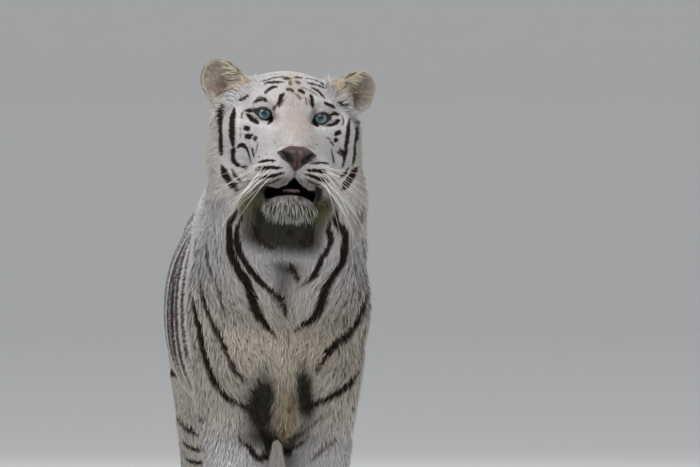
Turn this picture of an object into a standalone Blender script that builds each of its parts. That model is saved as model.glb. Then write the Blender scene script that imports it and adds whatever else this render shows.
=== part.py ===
"""A white tiger standing still, life size, with its head raised and its mouth a little open.

The frame is in metres: +Z up, the tiger faces -Y, its left side is +X, and the origin is on the floor
under the middle of its bounding box. The animal is one soft form out to the tips of its coat: lofted
trunk, neck, legs and tail, with ellipsoids for muscles and skull, fused by a voxel remesh. Thin cuts
then part it into the pieces that a person would name.
"""

import math
from functools import partial

import bmesh
import bpy
from mathutils import Euler, Matrix, Vector

# Driving dimensions
SHOULDER_HEIGHT = 0.965
EYE_LINE_HEIGHT = 1.08
EYE_LINE_AHEAD = 0.775  # from the middle of the trunk's stations to the eye line
EYE_HALF_SPACING = 0.0565
EYE_RADIUS = 0.0185
EYE_CENTRE_BEHIND = 0.007  # the middle of each eyeball behind the eye line
HEAD_ROLL = math.radians(4.5)
HEAD_YAW = math.radians(1.5)
FORE_STAGGER = 0.035  # the left forefoot stands this far behind its station, the right as far ahead
HIND_STAGGER = -0.06
PARTING = 0.0004  # the gap between neighbouring pieces

# How finely the form is fused, how far its bulk and its details are softened, and its triangles
VOXEL = 0.0055
BULK_SOFTENING = 34
DETAIL_SOFTENING = 6
TRIANGLES = 4700
HEAD_REACH = 0.24  # what is this near the eye line counts as the head
HEAD_LOOSENESS = 0.01  # how freely its triangles are merged, against 1 on the body
HEAD_DETAIL = 0.02  # how strongly they are kept
DOME_SEGMENTS = 16
SHARP_ANGLE = math.radians(40)

# The stations below are in metres on an animal of this shoulder height
STATION_HEIGHT = 0.965
SCALE = SHOULDER_HEIGHT / STATION_HEIGHT

# Trunk: along Y, top, bottom, half width
TRUNK = (
    (-0.600, 0.800, 0.640, 0.080),
    (-0.560, 0.880, 0.530, 0.135),
    (-0.480, 0.955, 0.460, 0.165),
    (-0.370, 0.978, 0.432, 0.178),
    (-0.220, 0.958, 0.428, 0.188),
    (-0.060, 0.932, 0.428, 0.196),
    (0.120, 0.922, 0.434, 0.198),
    (0.300, 0.930, 0.460, 0.186),
    (0.460, 0.950, 0.515, 0.160),
    (0.600, 0.935, 0.600, 0.132),
    (0.700, 0.875, 0.670, 0.088),
)
# Neck: along Y, height, half width, half depth across the neck
NECK = (
    (-0.360, 0.750, 0.172, 0.205),
    (-0.470, 0.795, 0.178, 0.202),
    (-0.570, 0.865, 0.172, 0.188),
    (-0.650, 0.935, 0.158, 0.162),
    (-0.720, 0.990, 0.136, 0.132),
)
# Legs: out from the middle, along Y, height, half width, half length across the limb
FORELEG = (
    (0.112, -0.400, 0.720, 0.066, 0.120),
    (0.110, -0.430, 0.620, 0.072, 0.118),
    (0.100, -0.415, 0.530, 0.075, 0.100),
    (0.087, -0.415, 0.440, 0.073, 0.082),
    (0.084, -0.425, 0.330, 0.064, 0.068),
    (0.083, -0.435, 0.220, 0.055, 0.057),
    (0.083, -0.440, 0.140, 0.056, 0.056),
    (0.084, -0.448, 0.075, 0.056, 0.058),
    (0.084, -0.465, 0.030, 0.056, 0.066),
)
HINDLEG = (
    (0.072, 0.530, 0.820, 0.070, 0.130),
    (0.080, 0.522, 0.700, 0.080, 0.172),
    (0.086, 0.500, 0.590, 0.078, 0.158),
    (0.088, 0.470, 0.480, 0.068, 0.122),
    (0.086, 0.520, 0.380, 0.054, 0.082),
    (0.084, 0.605, 0.285, 0.044, 0.060),
    (0.084, 0.640, 0.225, 0.042, 0.051),
    (0.084, 0.625, 0.140, 0.044, 0.047),
    (0.084, 0.605, 0.070, 0.048, 0.052),
    (0.084, 0.590, 0.030, 0.050, 0.060),
)
# Tail: out, along Y, height, radius
TAIL = (
    (0.000, 0.630, 0.850, 0.054),
    (0.000, 0.730, 0.815, 0.048),
    (0.004, 0.805, 0.720, 0.042),
    (0.012, 0.845, 0.590, 0.038),
    (0.024, 0.865, 0.450, 0.036),
    (0.036, 0.890, 0.320, 0.035),
    (0.046, 0.955, 0.225, 0.034),
    (0.052, 1.045, 0.195, 0.033),
    (0.052, 1.125, 0.220, 0.031),
    (0.050, 1.165, 0.275, 0.026),
    (0.049, 1.180, 0.310, 0.012),
)
# Paws: out from the middle, along Y, half width, length
FOREPAW = (0.084, -0.497, 0.070, 0.102)
HINDPAW = (0.085, 0.550, 0.062, 0.094)
PAD_BEHIND, PAD_HEIGHT = 0.012, 0.036
PAD_RADII = (0.92, 0.64, 0.047)  # in half widths, in lengths, in metres
TOES = ((-0.68, 0.38), (-0.25, 0.56), (0.25, 0.56), (0.68, 0.38))  # out in half widths, ahead in lengths
TOE_HEIGHT = 0.027
TOE_RADII = (0.31, 0.38, 0.035)  # in half widths, in lengths, in metres

# Muscles, all paired: out, along Y, height, then three radii, then the pitch in degrees
MUSCLES = {
    "shoulder blade": ((0.096, -0.375, 0.815), (0.080, 0.118, 0.170), -18),
    "shoulder point": ((0.120, -0.455, 0.705), (0.074, 0.098, 0.135), 8),
    "upper arm": ((0.108, -0.420, 0.600), (0.068, 0.128, 0.092), 14),
    "breast": ((0.072, -0.535, 0.630), (0.076, 0.082, 0.105), 8),
    "haunch": ((0.072, 0.530, 0.760), (0.074, 0.150, 0.160), -12),
    "buttock": ((0.058, 0.600, 0.730), (0.058, 0.100, 0.115), 14),
    "stifle": ((0.092, 0.405, 0.530), (0.052, 0.085, 0.110), -15),
    "flank fold": ((0.090, 0.320, 0.550), (0.058, 0.150, 0.070), 14),
}
# Single shapes of the body, in the same form
RIDGES = {
    "nape": ((0, -0.520, 0.965), (0.132, 0.215, 0.112), -34),
    "keel": ((0, -0.475, 0.520), (0.070, 0.110, 0.085), 10),
}
STERNUM_HAIR = ((0, -0.556, 0.560), (0.024, 0.056, 0.125))

# The head, from the middle of the eye line: out, forward, up; then the radii
SKULL = {
    "cranium": ((0.0, -0.110, -0.006), (0.120, 0.132, 0.096)),
    "forehead": ((0.0, -0.045, 0.010), (0.092, 0.066, 0.054)),
    "jaw": ((0.0, 0.012, -0.152), (0.072, 0.088, 0.044)),
    "throat": ((0.0, -0.110, -0.120), (0.122, 0.110, 0.095)),
}
SKULL_PAIRS = {
    "cheekbone": ((0.084, -0.050, -0.040), (0.054, 0.066, 0.064)),
    "ruff": ((0.103, -0.098, -0.070), (0.056, 0.058, 0.124)),
    "jowl": ((0.086, -0.065, -0.128), (0.056, 0.062, 0.062)),
}
FACE_PAIRS = {
    "brow": ((0.052, -0.014, 0.026), (0.036, 0.022, 0.014)),
    "whisker pad": ((0.037, 0.090, -0.107), (0.041, 0.044, 0.033)),
    "lip": ((0.052, 0.040, -0.122), (0.032, 0.056, 0.030)),
}
CHIN = ((0.0, 0.070, -0.170), (0.054, 0.042, 0.028))
# Snout and the bridge of the nose: forward, up, half width, half depth across it
SNOUT = (
    (-0.070, -0.050, 0.112, 0.080),
    (-0.020, -0.062, 0.100, 0.074),
    (0.030, -0.076, 0.084, 0.060),
    (0.075, -0.090, 0.070, 0.046),
    (0.108, -0.098, 0.052, 0.034),
)
BRIDGE = (
    (-0.050, -0.002, 0.060, 0.034),
    (0.000, -0.014, 0.052, 0.034),
    (0.050, -0.038, 0.044, 0.033),
    (0.092, -0.060, 0.040, 0.030),
    (0.118, -0.075, 0.036, 0.024),
)
NOSE = ((0.0, 0.121, -0.083), (0.035, 0.027, 0.023))
# The open mouth is a cut of this form, and the tongue lies in it
MOUTH_GAPE = ((0.0, 0.100, -0.142), (0.052, 0.082, 0.013))
TONGUE = ((0.0, 0.062, -0.152), (0.026, 0.050, 0.006))

# Where the form is parted. A slab's faces are square to its own axes, pitched in degrees about X, and
# each is given by its middle and size: out, along Y, height. Paired ones have a mirror, at -X.
SLABS = {
    "head": ((0, -0.9045, 1.2101), (0.60, 0.70, 0.60), 46.3),
    "neck": ((0, -0.8070, 1.0042), (0.60, 0.90, 0.60), 59),
    "tail_base": ((0, 0.885, 0.780), (0.30, 0.300, 0.400), 0),
    "tail_middle": ((0, 0.855, 0.340), (0.30, 0.200, 0.4795), 0),
    "tail_tip": ((0, 1.110, 0.340), (0.30, 0.309, 0.4795), 0),
    "chest": ((0, -0.500, 0.730), (0.60, 0.600, 0.700), 0),
    "rump": ((0, 0.600, 0.730), (0.60, 0.600, 0.700), 0),
}
PAIRED_SLABS = {
    "forepaw": ((0.10, -0.470, 0.040), (0.1999, 0.400, 0.120), 0),
    "foreleg": ((0.10, -0.430, 0.260), (0.1999, 0.400, 0.320), 0),
    "hindpaw": ((0.10, 0.560, 0.040), (0.1999, 0.400, 0.120), 0),
    "hindleg": ((0.10, 0.530, 0.270), (0.1999, 0.440, 0.340), 0),
}
# In the head's axes: out, forward, up
JAW_SLAB = ((0, 0.085, -0.248), (0.30, 0.240, 0.200))
NOSE_CUT = ((0, 0.130, -0.083), (0.042, 0.024, 0.027))
EAR_SLAB = ((0, 0, 0.028), (0.150, 0.120, 0.100))

# Ears: a dish, tilted outward by its own angle on each side. Distances from the ear's own middle.
EAR_CENTRE = Vector((0.138, -0.090, 0.066))
EAR_RADII = (0.043, 0.024, 0.043)
EAR_HOLLOW = ((0.003, 0.028, 0.002), (0.034, 0.030, 0.034))
EAR_STEM = ((-0.004, -0.008, -0.034), (0.040, 0.028, 0.042))
EAR_TILT = {-1: math.radians(36), 1: math.radians(54)}
EAR_TURN = {-1: math.radians(16), 1: math.radians(28)}


def clear_scene():
    for obj in list(bpy.data.objects):
        bpy.data.objects.remove(obj, do_unlink=True)


def new_collection(name):
    made = bpy.data.collections.new(name)
    bpy.context.scene.collection.children.link(made)
    return made


def new_object(name, bm, collection):
    mesh = bpy.data.meshes.new(name)
    bm.to_mesh(mesh)
    bm.free()
    obj = bpy.data.objects.new(name, mesh)
    collection.objects.link(obj)
    return obj


def closed_object(bm, name, collection):
    bmesh.ops.recalc_face_normals(bm, faces=bm.faces)
    return new_object(name, bm, collection)


def between(stations, t):
    """Values at t, counted in stations, on a smooth curve through all of them."""
    last = len(stations) - 1
    i = min(int(t), last - 1)
    u = t - i
    near = [stations[min(max(k, 0), last)] for k in (i - 1, i, i + 1, i + 2)]
    return [
        0.5 * (2 * b + (c - a) * u + (2 * a - 5 * b + 4 * c - d) * u * u + (3 * b - a - 3 * c + d) * u**3)
        for a, b, c, d in zip(*near)
    ]


def loft(bm, stations, sides=28, steps=5, fullness=2.2):
    """A closed tube through superelliptic sections. A station is x, y, z, half width and half depth. Its
    width runs along X, and its depth across both X and the tube's own direction."""
    count = (len(stations) - 1) * steps
    samples = [between(stations, k / steps) for k in range(count + 1)]
    across = Vector((1, 0, 0))
    rings = []
    for k, (x, y, z, wide, deep) in enumerate(samples):
        along = Vector(samples[min(k + 1, count)][:3]) - Vector(samples[max(k - 1, 0)][:3])
        over = along.cross(across).normalized()
        ring = []
        for s in range(sides):
            angle = 2 * math.pi * s / sides
            c, n = math.cos(angle), math.sin(angle)
            swell = (abs(c) ** fullness + abs(n) ** fullness) ** (-1 / fullness)
            offset = across * (wide * c * swell) + over * (deep * n * swell)
            ring.append(bm.verts.new(Vector((x, y, z)) + offset))
        rings.append(ring)
    for low, high in zip(rings, rings[1:]):
        for s in range(sides):
            t = (s + 1) % sides
            bm.faces.new((low[s], low[t], high[t], high[s]))
    bm.faces.new(rings[0][::-1])
    bm.faces.new(rings[-1])


def ellipsoid(bm, centre, radii, turn=Euler((0, 0, 0)), segments=32):
    matrix = Matrix.LocRotScale(Vector(centre), turn, Vector(radii))
    bmesh.ops.create_uvsphere(bm, u_segments=segments, v_segments=segments // 2, radius=1, matrix=matrix)


def head_matrix():
    """From the head's own axes, out, forward and up from the middle of the eye line, to the body's."""
    facing = Matrix.Diagonal((1, -1, 1, 1))
    turn = Euler((0, HEAD_ROLL, HEAD_YAW), "XYZ").to_matrix().to_4x4()
    return Matrix.Translation((0, -EYE_LINE_AHEAD * SCALE, EYE_LINE_HEIGHT * SCALE)) @ turn @ facing


def settle(obj):
    """Puts the evaluated mesh in place of the modifiers."""
    graph = bpy.context.evaluated_depsgraph_get()
    mesh = bpy.data.meshes.new_from_object(obj.evaluated_get(graph))
    obj.modifiers.clear()
    obj.data = mesh
    return obj


def cut(obj, cutter, operation="DIFFERENCE"):
    boolean = obj.modifiers.new("Cut", "BOOLEAN")
    boolean.object = cutter
    boolean.operation = operation
    boolean.solver = "EXACT"
    return settle(obj)


def leg(bm, side, stations, stagger):
    """One leg. Its stations lean by the stagger from their top down to the foot."""
    top = stations[0][2]
    leaned = [(side * x, y + stagger * (top - z) / top, z, wide, deep) for x, y, z, wide, deep in stations]
    loft(bm, leaned)


def paw(bm, side, foot, stagger):
    """A pad with four toes in front of it. It reaches below the floor, which then cuts it flat."""
    x, y, wide, length = foot
    y += stagger
    size = Vector((wide, length, 1))
    ellipsoid(bm, (side * x, y + PAD_BEHIND, PAD_HEIGHT), size * Vector(PAD_RADII))
    for out, ahead in TOES:
        centre = (side * (x + out * wide), y - ahead * length, TOE_HEIGHT)
        ellipsoid(bm, centre, size * Vector(TOE_RADII))


def body_bulk():
    bm = bmesh.new()
    loft(bm, [(0, y, (top + low) / 2, wide, (top - low) / 2) for y, top, low, wide in TRUNK], sides=40)
    loft(bm, [(0, *station) for station in NECK], sides=36)
    loft(bm, [(x, y, z, radius, radius) for x, y, z, radius in TAIL], sides=20, fullness=2)
    for centre, radii, pitch in RIDGES.values():
        ellipsoid(bm, centre, radii, Euler((math.radians(pitch), 0, 0)))
    for side in (-1, 1):
        leg(bm, side, FORELEG, side * FORE_STAGGER)
        leg(bm, side, HINDLEG, side * HIND_STAGGER)
        for (x, y, z), radii, pitch in MUSCLES.values():
            ellipsoid(bm, (side * x, y, z), radii, Euler((math.radians(pitch), 0, 0)))
    bmesh.ops.scale(bm, vec=(SCALE,) * 3, verts=bm.verts)
    return bm


def body_details():
    bm = bmesh.new()
    ellipsoid(bm, *STERNUM_HAIR)
    for side in (-1, 1):
        paw(bm, side, FOREPAW, side * FORE_STAGGER)
        paw(bm, side, HINDPAW, side * HIND_STAGGER)
    bmesh.ops.scale(bm, vec=(SCALE,) * 3, verts=bm.verts)
    return bm


def head_bulk():
    bm = bmesh.new()
    loft(bm, [(0, *station) for station in BRIDGE])
    loft(bm, [(0, *station) for station in SNOUT])
    for centre, radii in SKULL.values():
        ellipsoid(bm, centre, radii)
    for side in (-1, 1):
        for (x, forward, up), radii in SKULL_PAIRS.values():
            ellipsoid(bm, (side * x, forward, up), radii)
    bmesh.ops.transform(bm, matrix=head_matrix(), verts=bm.verts)
    return bm


def head_details():
    bm = bmesh.new()
    ellipsoid(bm, *CHIN)
    ellipsoid(bm, *NOSE)
    for side in (-1, 1):
        for (x, forward, up), radii in FACE_PAIRS.values():
            ellipsoid(bm, (side * x, forward, up), radii)
    bmesh.ops.transform(bm, matrix=head_matrix(), verts=bm.verts)
    return bm


def eye_middle(side):
    return (side * EYE_HALF_SPACING, -EYE_CENTRE_BEHIND, 0)


def ear_matrix(side):
    """From the ear's own axes to the head's."""
    turn = Euler((0, side * EAR_TILT[side], -side * EAR_TURN[side]), "XYZ")
    return Matrix.LocRotScale(Vector((side, 1, 1)) * EAR_CENTRE, turn, None)


def ear(side, collection):
    """A dish on a stem, as closed objects in the body's axes."""
    own = ear_matrix(side)
    pieces = []
    for (x, forward, up), radii in (((0, 0, 0), EAR_RADII), EAR_HOLLOW, EAR_STEM):
        bm = bmesh.new()
        ellipsoid(bm, (side * x, forward, up), radii)
        bmesh.ops.transform(bm, matrix=head_matrix() @ own, verts=bm.verts)
        pieces.append(closed_object(bm, "ear", collection))
    dish, hollow, stem = pieces
    cut(dish, hollow)
    bpy.data.objects.remove(hollow)
    return [dish, stem]


def fused(name, shapes, softening, collection):
    """One closed surface round all the shapes, with their junctions softened."""
    bm = bmesh.new()
    for shape in shapes:
        bm.from_mesh(shape.data)
        bpy.data.objects.remove(shape)
    obj = new_object(name, bm, collection)
    remesh = obj.modifiers.new("Fuse", "REMESH")
    remesh.mode = "VOXEL"
    remesh.voxel_size = VOXEL
    soften = obj.modifiers.new("Soften", "SMOOTH")
    soften.factor = 0.5
    soften.iterations = softening
    return settle(obj)


def animal(collection):
    """The whole outer form: the bulk, much softened, then the details fused onto it."""
    bulk = [closed_object(bm, "bulk", collection) for bm in (body_bulk(), head_bulk())]
    shapes = [fused("bulk", bulk, BULK_SOFTENING, collection)]
    shapes += [closed_object(bm, "details", collection) for bm in (body_details(), head_details())]
    shapes += ear(-1, collection) + ear(1, collection)
    return fused("animal", shapes, DETAIL_SOFTENING, collection)


def thinned(obj, triangles):
    """Fewer triangles, with more of them to the area on the head than on the body."""
    group = obj.vertex_groups.new(name="coarse")
    middle = head_matrix().translation
    for vertex in obj.data.vertices:
        near_head = (vertex.co - middle).length < HEAD_REACH
        group.add([vertex.index], HEAD_LOOSENESS if near_head else 1, "REPLACE")
    obj.data.calc_loop_triangles()
    thin = obj.modifiers.new("Thin", "DECIMATE")
    thin.ratio = triangles / len(obj.data.loop_triangles)
    thin.vertex_group = group.name
    thin.vertex_group_factor = HEAD_DETAIL
    settle(obj)
    obj.vertex_groups.clear()


def slab(middle, size, matrix, grow, collection):
    """A box cutter in the given axes, larger by the parting on every side when it is grown."""
    bm = bmesh.new()
    bmesh.ops.create_cube(bm, size=1)
    bmesh.ops.scale(bm, vec=Vector(size) + Vector((2 * grow,) * 3), verts=bm.verts)
    bmesh.ops.transform(bm, matrix=matrix @ Matrix.Translation(middle), verts=bm.verts)
    return closed_object(bm, "slab", collection)


def dome(middle, radii, matrix, grow, collection):
    """An ellipsoid cutter in the given axes, larger by the parting when it is grown."""
    bm = bmesh.new()
    ellipsoid(bm, middle, Vector(radii) + Vector((grow,) * 3), segments=DOME_SEGMENTS)
    bmesh.ops.transform(bm, matrix=matrix, verts=bm.verts)
    return closed_object(bm, "dome", collection)


def part_off(whole, name, make_cutter, cutters):
    """Takes the piece inside the cutter off the whole and leaves the parting between the two."""
    piece = whole.copy()
    piece.data = whole.data.copy()
    piece.name = name
    whole.users_collection[0].objects.link(piece)
    for obj, operation, grow in ((piece, "INTERSECT", 0), (whole, "DIFFERENCE", PARTING)):
        cutter = make_cutter(grow, cutters)
        cut(obj, cutter, operation)
        bpy.data.objects.remove(cutter)
    return piece


def sided(name, side):
    return name + ("_left" if side > 0 else "_right")


def part_body(whole, cutters):
    for side in (-1, 1):
        for name, ((x, y, z), size, pitch) in PAIRED_SLABS.items():
            turn = Matrix.Rotation(math.radians(pitch), 4, "X")
            centre = Matrix.Translation(Vector((side * x, y, z)) * SCALE)
            make = partial(slab, (0, 0, 0), Vector(size) * SCALE, centre @ turn)
            part_off(whole, sided(name, side), make, cutters)
    for name, (middle, size, pitch) in SLABS.items():
        turn = Matrix.Rotation(math.radians(pitch), 4, "X")
        centre = Matrix.Translation(Vector(middle) * SCALE)
        part_off(whole, name, partial(slab, (0, 0, 0), Vector(size) * SCALE, centre @ turn), cutters)
    whole.name = "belly"


def part_head(head, parts, cutters):
    place = head_matrix()
    gape = dome(*MOUTH_GAPE, place, 0, cutters)
    cut(head, gape)
    tongue = dome(*TONGUE, place, 0, parts)
    tongue.name = "tongue"
    inner_gape = dome(*MOUTH_GAPE, place, -PARTING, cutters)
    cut(tongue, inner_gape, "INTERSECT")
    for cutter in (gape, inner_gape):
        bpy.data.objects.remove(cutter)
    for side in (-1, 1):
        own = place @ ear_matrix(side)
        part_off(head, sided("ear", side), partial(slab, *EAR_SLAB, own), cutters)
        socket = dome(eye_middle(side), (EYE_RADIUS,) * 3, place, PARTING, cutters)
        cut(head, socket)
        bpy.data.objects.remove(socket)
        eye = dome(eye_middle(side), (EYE_RADIUS,) * 3, place, 0, parts)
        eye.name = sided("eye", side)
    part_off(head, "nose", partial(dome, *NOSE_CUT, place), cutters)
    part_off(head, "lower_jaw", partial(slab, *JAW_SLAB, place), cutters)


def level_feet(whole, cutters):
    """Cuts the soles flat, on the floor."""
    ground = slab((0, 0, -0.5), (4, 4, 1), Matrix.Identity(4), 0, cutters)
    cut(whole, ground)
    bpy.data.objects.remove(ground)


def centre_on_floor(parts):
    """Moves every piece so that the origin is under the middle of the bounding box."""
    bpy.context.view_layer.update()
    corners = [obj.matrix_world @ Vector(c) for obj in parts.objects for c in obj.bound_box]
    low = Vector(map(min, zip(*corners)))
    high = Vector(map(max, zip(*corners)))
    shift = Matrix.Translation((-(low.x + high.x) / 2, -(low.y + high.y) / 2, -low.z))
    for obj in parts.objects:
        obj.data.transform(shift)
        obj.data.update()


def paint(parts):
    finishes = {
        "fur": ((0.83, 0.80, 0.76, 1), 0.85),
        "nose": ((0.25, 0.13, 0.13, 1), 0.45),
        "eye": ((0.35, 0.55, 0.62, 1), 0.08),
        "tongue": ((0.50, 0.25, 0.25, 1), 0.50),
    }
    materials = {}
    for name, (colour, roughness) in finishes.items():
        material = bpy.data.materials.new(name)
        material.use_nodes = True
        shader = material.node_tree.nodes["Principled BSDF"]
        shader.inputs["Base Color"].default_value = colour
        shader.inputs["Roughness"].default_value = roughness
        shader.inputs["Metallic"].default_value = 0
        materials[name] = material
    for obj in parts.objects:
        obj.data.materials.clear()
        obj.data.materials.append(materials.get(obj.name.split("_")[0], materials["fur"]))
        obj.data.shade_smooth()
        obj.data.set_sharp_from_angle(angle=SHARP_ANGLE)


def main():
    clear_scene()
    parts = new_collection("white_tiger")
    cutters = new_collection("cutters")
    cutters.hide_render = True
    whole = animal(parts)
    thinned(whole, TRIANGLES)
    level_feet(whole, cutters)
    part_body(whole, cutters)
    part_head(bpy.data.objects["head"], parts, cutters)
    centre_on_floor(parts)
    paint(parts)


if __name__ == "__main__":
    main()
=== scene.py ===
import math

import bmesh
import bpy
import numpy as np
from mathutils import Matrix, Vector, kdtree
from mathutils.bvhtree import BVHTree


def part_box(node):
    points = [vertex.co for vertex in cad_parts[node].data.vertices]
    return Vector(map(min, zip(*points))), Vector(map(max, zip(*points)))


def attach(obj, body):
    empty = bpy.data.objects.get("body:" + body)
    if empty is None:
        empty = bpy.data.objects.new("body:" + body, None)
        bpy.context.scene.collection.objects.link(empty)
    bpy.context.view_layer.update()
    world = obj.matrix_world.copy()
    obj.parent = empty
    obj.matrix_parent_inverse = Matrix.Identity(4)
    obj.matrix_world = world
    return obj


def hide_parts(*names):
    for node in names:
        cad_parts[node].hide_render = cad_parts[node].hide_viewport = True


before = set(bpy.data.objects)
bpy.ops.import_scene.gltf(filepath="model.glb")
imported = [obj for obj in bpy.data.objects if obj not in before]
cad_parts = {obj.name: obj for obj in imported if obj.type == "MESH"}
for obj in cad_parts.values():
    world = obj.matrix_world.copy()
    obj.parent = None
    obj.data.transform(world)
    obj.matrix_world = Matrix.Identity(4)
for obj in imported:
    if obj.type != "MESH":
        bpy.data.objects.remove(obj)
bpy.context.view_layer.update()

# ---------------------------------------------------------------- constants
EYE_RADIUS = 0.0185
EYE_CENTRE_BEHIND = 0.007
CLOSE_GAPS = 0.0006  # the parted solids grow by this much, so that they fuse
BASE_VOXEL, BODY_VOXEL, UNCUT_VOXEL, FACE_VOXEL = 0.0045, 0.0086, 0.0034, 0.0027
HEAD_PLANE = (0.0, -0.100, -0.200)  # a point of the plane where the fine head meets the body, in head axes
HEAD_PLANE_NORMAL = (0.0, 0.72, 0.69)
HEAD_PLANE_MARGIN = 0.0025

EARS = {-1: (36, 16), 1: (54, 28)}  # how far each ear tilts outward and turns, in degrees
EAR_CENTRE = (0.138, -0.090, 0.066)


# ---------------------------------------------------------------- small helpers
def unit(v):
    v = np.asarray(v, float)
    return v / np.maximum(np.linalg.norm(v, axis=-1, keepdims=True), 1e-12)


def ramp(value, start, end):
    """0 before start, 1 after end, smooth between them. Either may be the larger."""
    t = np.clip((np.asarray(value, float) - start) / (end - start), 0, 1)
    return t * t * (3 - 2 * t)


def mix(a, b, w):
    return a + (b - a) * w


def within(*parts):
    """The product of its parts, each a share or the value, start and end of a ramp."""
    share = 1.0
    for part in parts:
        share = share * (ramp(*part) if isinstance(part, tuple) else part)
    return share


def layered(value, layers):
    """The value with each layer (new value, how much of it, parts of its place) mixed over it."""
    for new, much, *parts in layers:
        share = within(*parts) * much
        value = mix(value, new, share[:, None] if value.ndim > 1 else share)
    return value


def centre(node):
    low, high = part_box(node)
    return np.array((low + high) / 2)


BALLS = {1: centre("eye_left"), -1: centre("eye_right")}
OUT = unit(BALLS[1] - BALLS[-1])
AHEAD = unit(np.cross(OUT, (0, 0, 1)))
UP = np.cross(AHEAD, OUT)
AXES = np.stack([OUT, AHEAD, UP], axis=1)
EYE_LINE = (BALLS[1] + BALLS[-1]) / 2 + AHEAD * EYE_CENTRE_BEHIND


def to_head(points):
    """From the frame to the head's own axes: out, ahead, up, from the middle of the eye line."""
    return (np.asarray(points, float) - EYE_LINE) @ AXES


def from_head(points):
    return EYE_LINE + np.asarray(points, float) @ AXES.T


def new_object(name, vertices, faces, smooth=True):
    mesh = bpy.data.meshes.new(name)
    mesh.from_pydata(np.asarray(vertices, float).tolist(), [], [list(map(int, f)) for f in faces])
    mesh.polygons.foreach_set("use_smooth", [smooth] * len(mesh.polygons))
    mesh.update()
    obj = bpy.data.objects.new(name, mesh)
    bpy.context.scene.collection.objects.link(obj)
    return obj


def vertices_of(obj):
    co = np.empty(len(obj.data.vertices) * 3, np.float32)
    obj.data.vertices.foreach_get("co", co)
    return co.reshape(-1, 3).astype(float)


def normals_of(obj):
    co = np.empty(len(obj.data.vertices) * 3, np.float32)
    obj.data.vertex_normals.foreach_get("vector", co)
    return co.reshape(-1, 3).astype(float)


def set_vertices(obj, co):
    obj.data.vertices.foreach_set("co", np.asarray(co, np.float32).ravel())
    obj.data.update()


def attribute(obj, name, values, kind="FLOAT"):
    layer = obj.data.attributes.new(name, kind, "POINT")
    if kind == "FLOAT_COLOR":
        values = np.concatenate([values, np.ones((len(values), 1))], axis=1)
        layer.data.foreach_set("color", values.astype(np.float32).ravel())
    else:
        layer.data.foreach_set("value", values.astype(np.float32))


def polygons_of(obj):
    return [list(p.vertices) for p in obj.data.polygons]


def applied(obj):
    """The object with its modifiers made real."""
    graph = bpy.context.evaluated_depsgraph_get()
    made = bpy.data.meshes.new_from_object(obj.evaluated_get(graph))
    old = obj.data
    obj.modifiers.clear()
    obj.data = made
    bpy.data.meshes.remove(old)
    return obj


def remeshed(obj, voxel):
    step = obj.modifiers.new("remesh", "REMESH")
    step.mode, step.voxel_size = "VOXEL", voxel
    return applied(obj)


def smoothed(obj, times, factor=0.5):
    step = obj.modifiers.new("smooth", "SMOOTH")
    step.iterations, step.factor = times, factor
    return applied(obj)


def grid_faces(rows, columns, closed=True):
    """Quads between rows of points, each row going round when closed."""
    faces = []
    for r in range(0, (rows - 1) * columns, columns):
        for i in range(columns if closed else columns - 1):
            j = (i + 1) % columns
            faces.append([r + i, r + j, r + columns + j, r + columns + i])
    return faces


def capped_faces(rows, columns):
    """Closed rows of quads with a fan at either end, to the last two points."""
    faces, last = grid_faces(rows, columns), (rows - 1) * columns
    for i in range(columns):
        j = (i + 1) % columns
        faces += [[rows * columns, j, i], [rows * columns + 1, last + i, last + j]]
    return faces


def joined(name, pieces):
    """One object from (vertices, faces) pairs."""
    vertices, faces, start = [], [], 0
    for some_vertices, some_faces in pieces:
        vertices.append(np.asarray(some_vertices, float))
        faces += [[v + start for v in f] for f in some_faces]
        start += len(some_vertices)
    return new_object(name, np.concatenate(vertices), faces)


def taken(obj):
    """The object's (vertices, faces); the object itself goes."""
    pair = vertices_of(obj), polygons_of(obj)
    bpy.data.objects.remove(obj)
    return pair


def facing_out(vertices, faces):
    """The faces of a closed body, all turned outward."""
    bm = bmesh.new()
    made = [bm.verts.new(v) for v in vertices]
    for face in faces:
        bm.faces.new([made[v] for v in face])
    bmesh.ops.recalc_face_normals(bm, faces=bm.faces)
    bm.verts.index_update()
    return indices_of(bm)


def indices_of(bm):
    """Each face's vertices by number; the bmesh itself goes."""
    faces = [[v.index for v in f.verts] for f in bm.faces]
    bm.free()
    return faces


def ball(segments, rings):
    """(vertices, faces) of a ball of radius 1, its faces in an order that is the same each run."""
    bm = bmesh.new()
    bmesh.ops.create_uvsphere(bm, u_segments=segments, v_segments=rings, radius=1)
    return np.array([v.co for v in bm.verts]), sorted(indices_of(bm))


def ellipsoid(middle, radii, segments=32, rings=20):
    """(vertices, faces) of an ellipsoid in the head's axes, put into the frame."""
    co, faces = ball(segments, rings)
    return from_head(co * np.array(radii) + np.array(middle)), [f[::-1] for f in faces]


def grown(node, by):
    bm = bmesh.new()
    bm.from_mesh(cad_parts[node].data)
    bmesh.ops.remove_doubles(bm, verts=bm.verts, dist=1e-5)
    bm.normal_update()
    return np.array([v.co + v.normal * by for v in bm.verts]), indices_of(bm)


def cut(obj, cutter):
    step = obj.modifiers.new("cut", "BOOLEAN")
    step.object, step.operation, step.solver = cutter, "DIFFERENCE", "EXACT"
    applied(obj)
    bpy.data.objects.remove(cutter)
    return obj


# ---------------------------------------------------------------- the ears' own axes
def ear_place(side):
    tilt, turn = (math.radians(a) for a in EARS[side])
    turned = Matrix.Rotation(-side * turn, 3, "Z") @ Matrix.Rotation(side * tilt, 3, "Y")
    return np.array((side * EAR_CENTRE[0], EAR_CENTRE[1], EAR_CENTRE[2])), np.array(turned)


EAR_MIDDLES = {side: from_head(ear_place(side)[0]) for side in EARS}


def from_ear(points, side):
    """From the ear's own axes into the frame."""
    middle, turned = ear_place(side)
    return from_head((np.asarray(points) * (side, 1, 1)) @ turned.T + middle)


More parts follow.
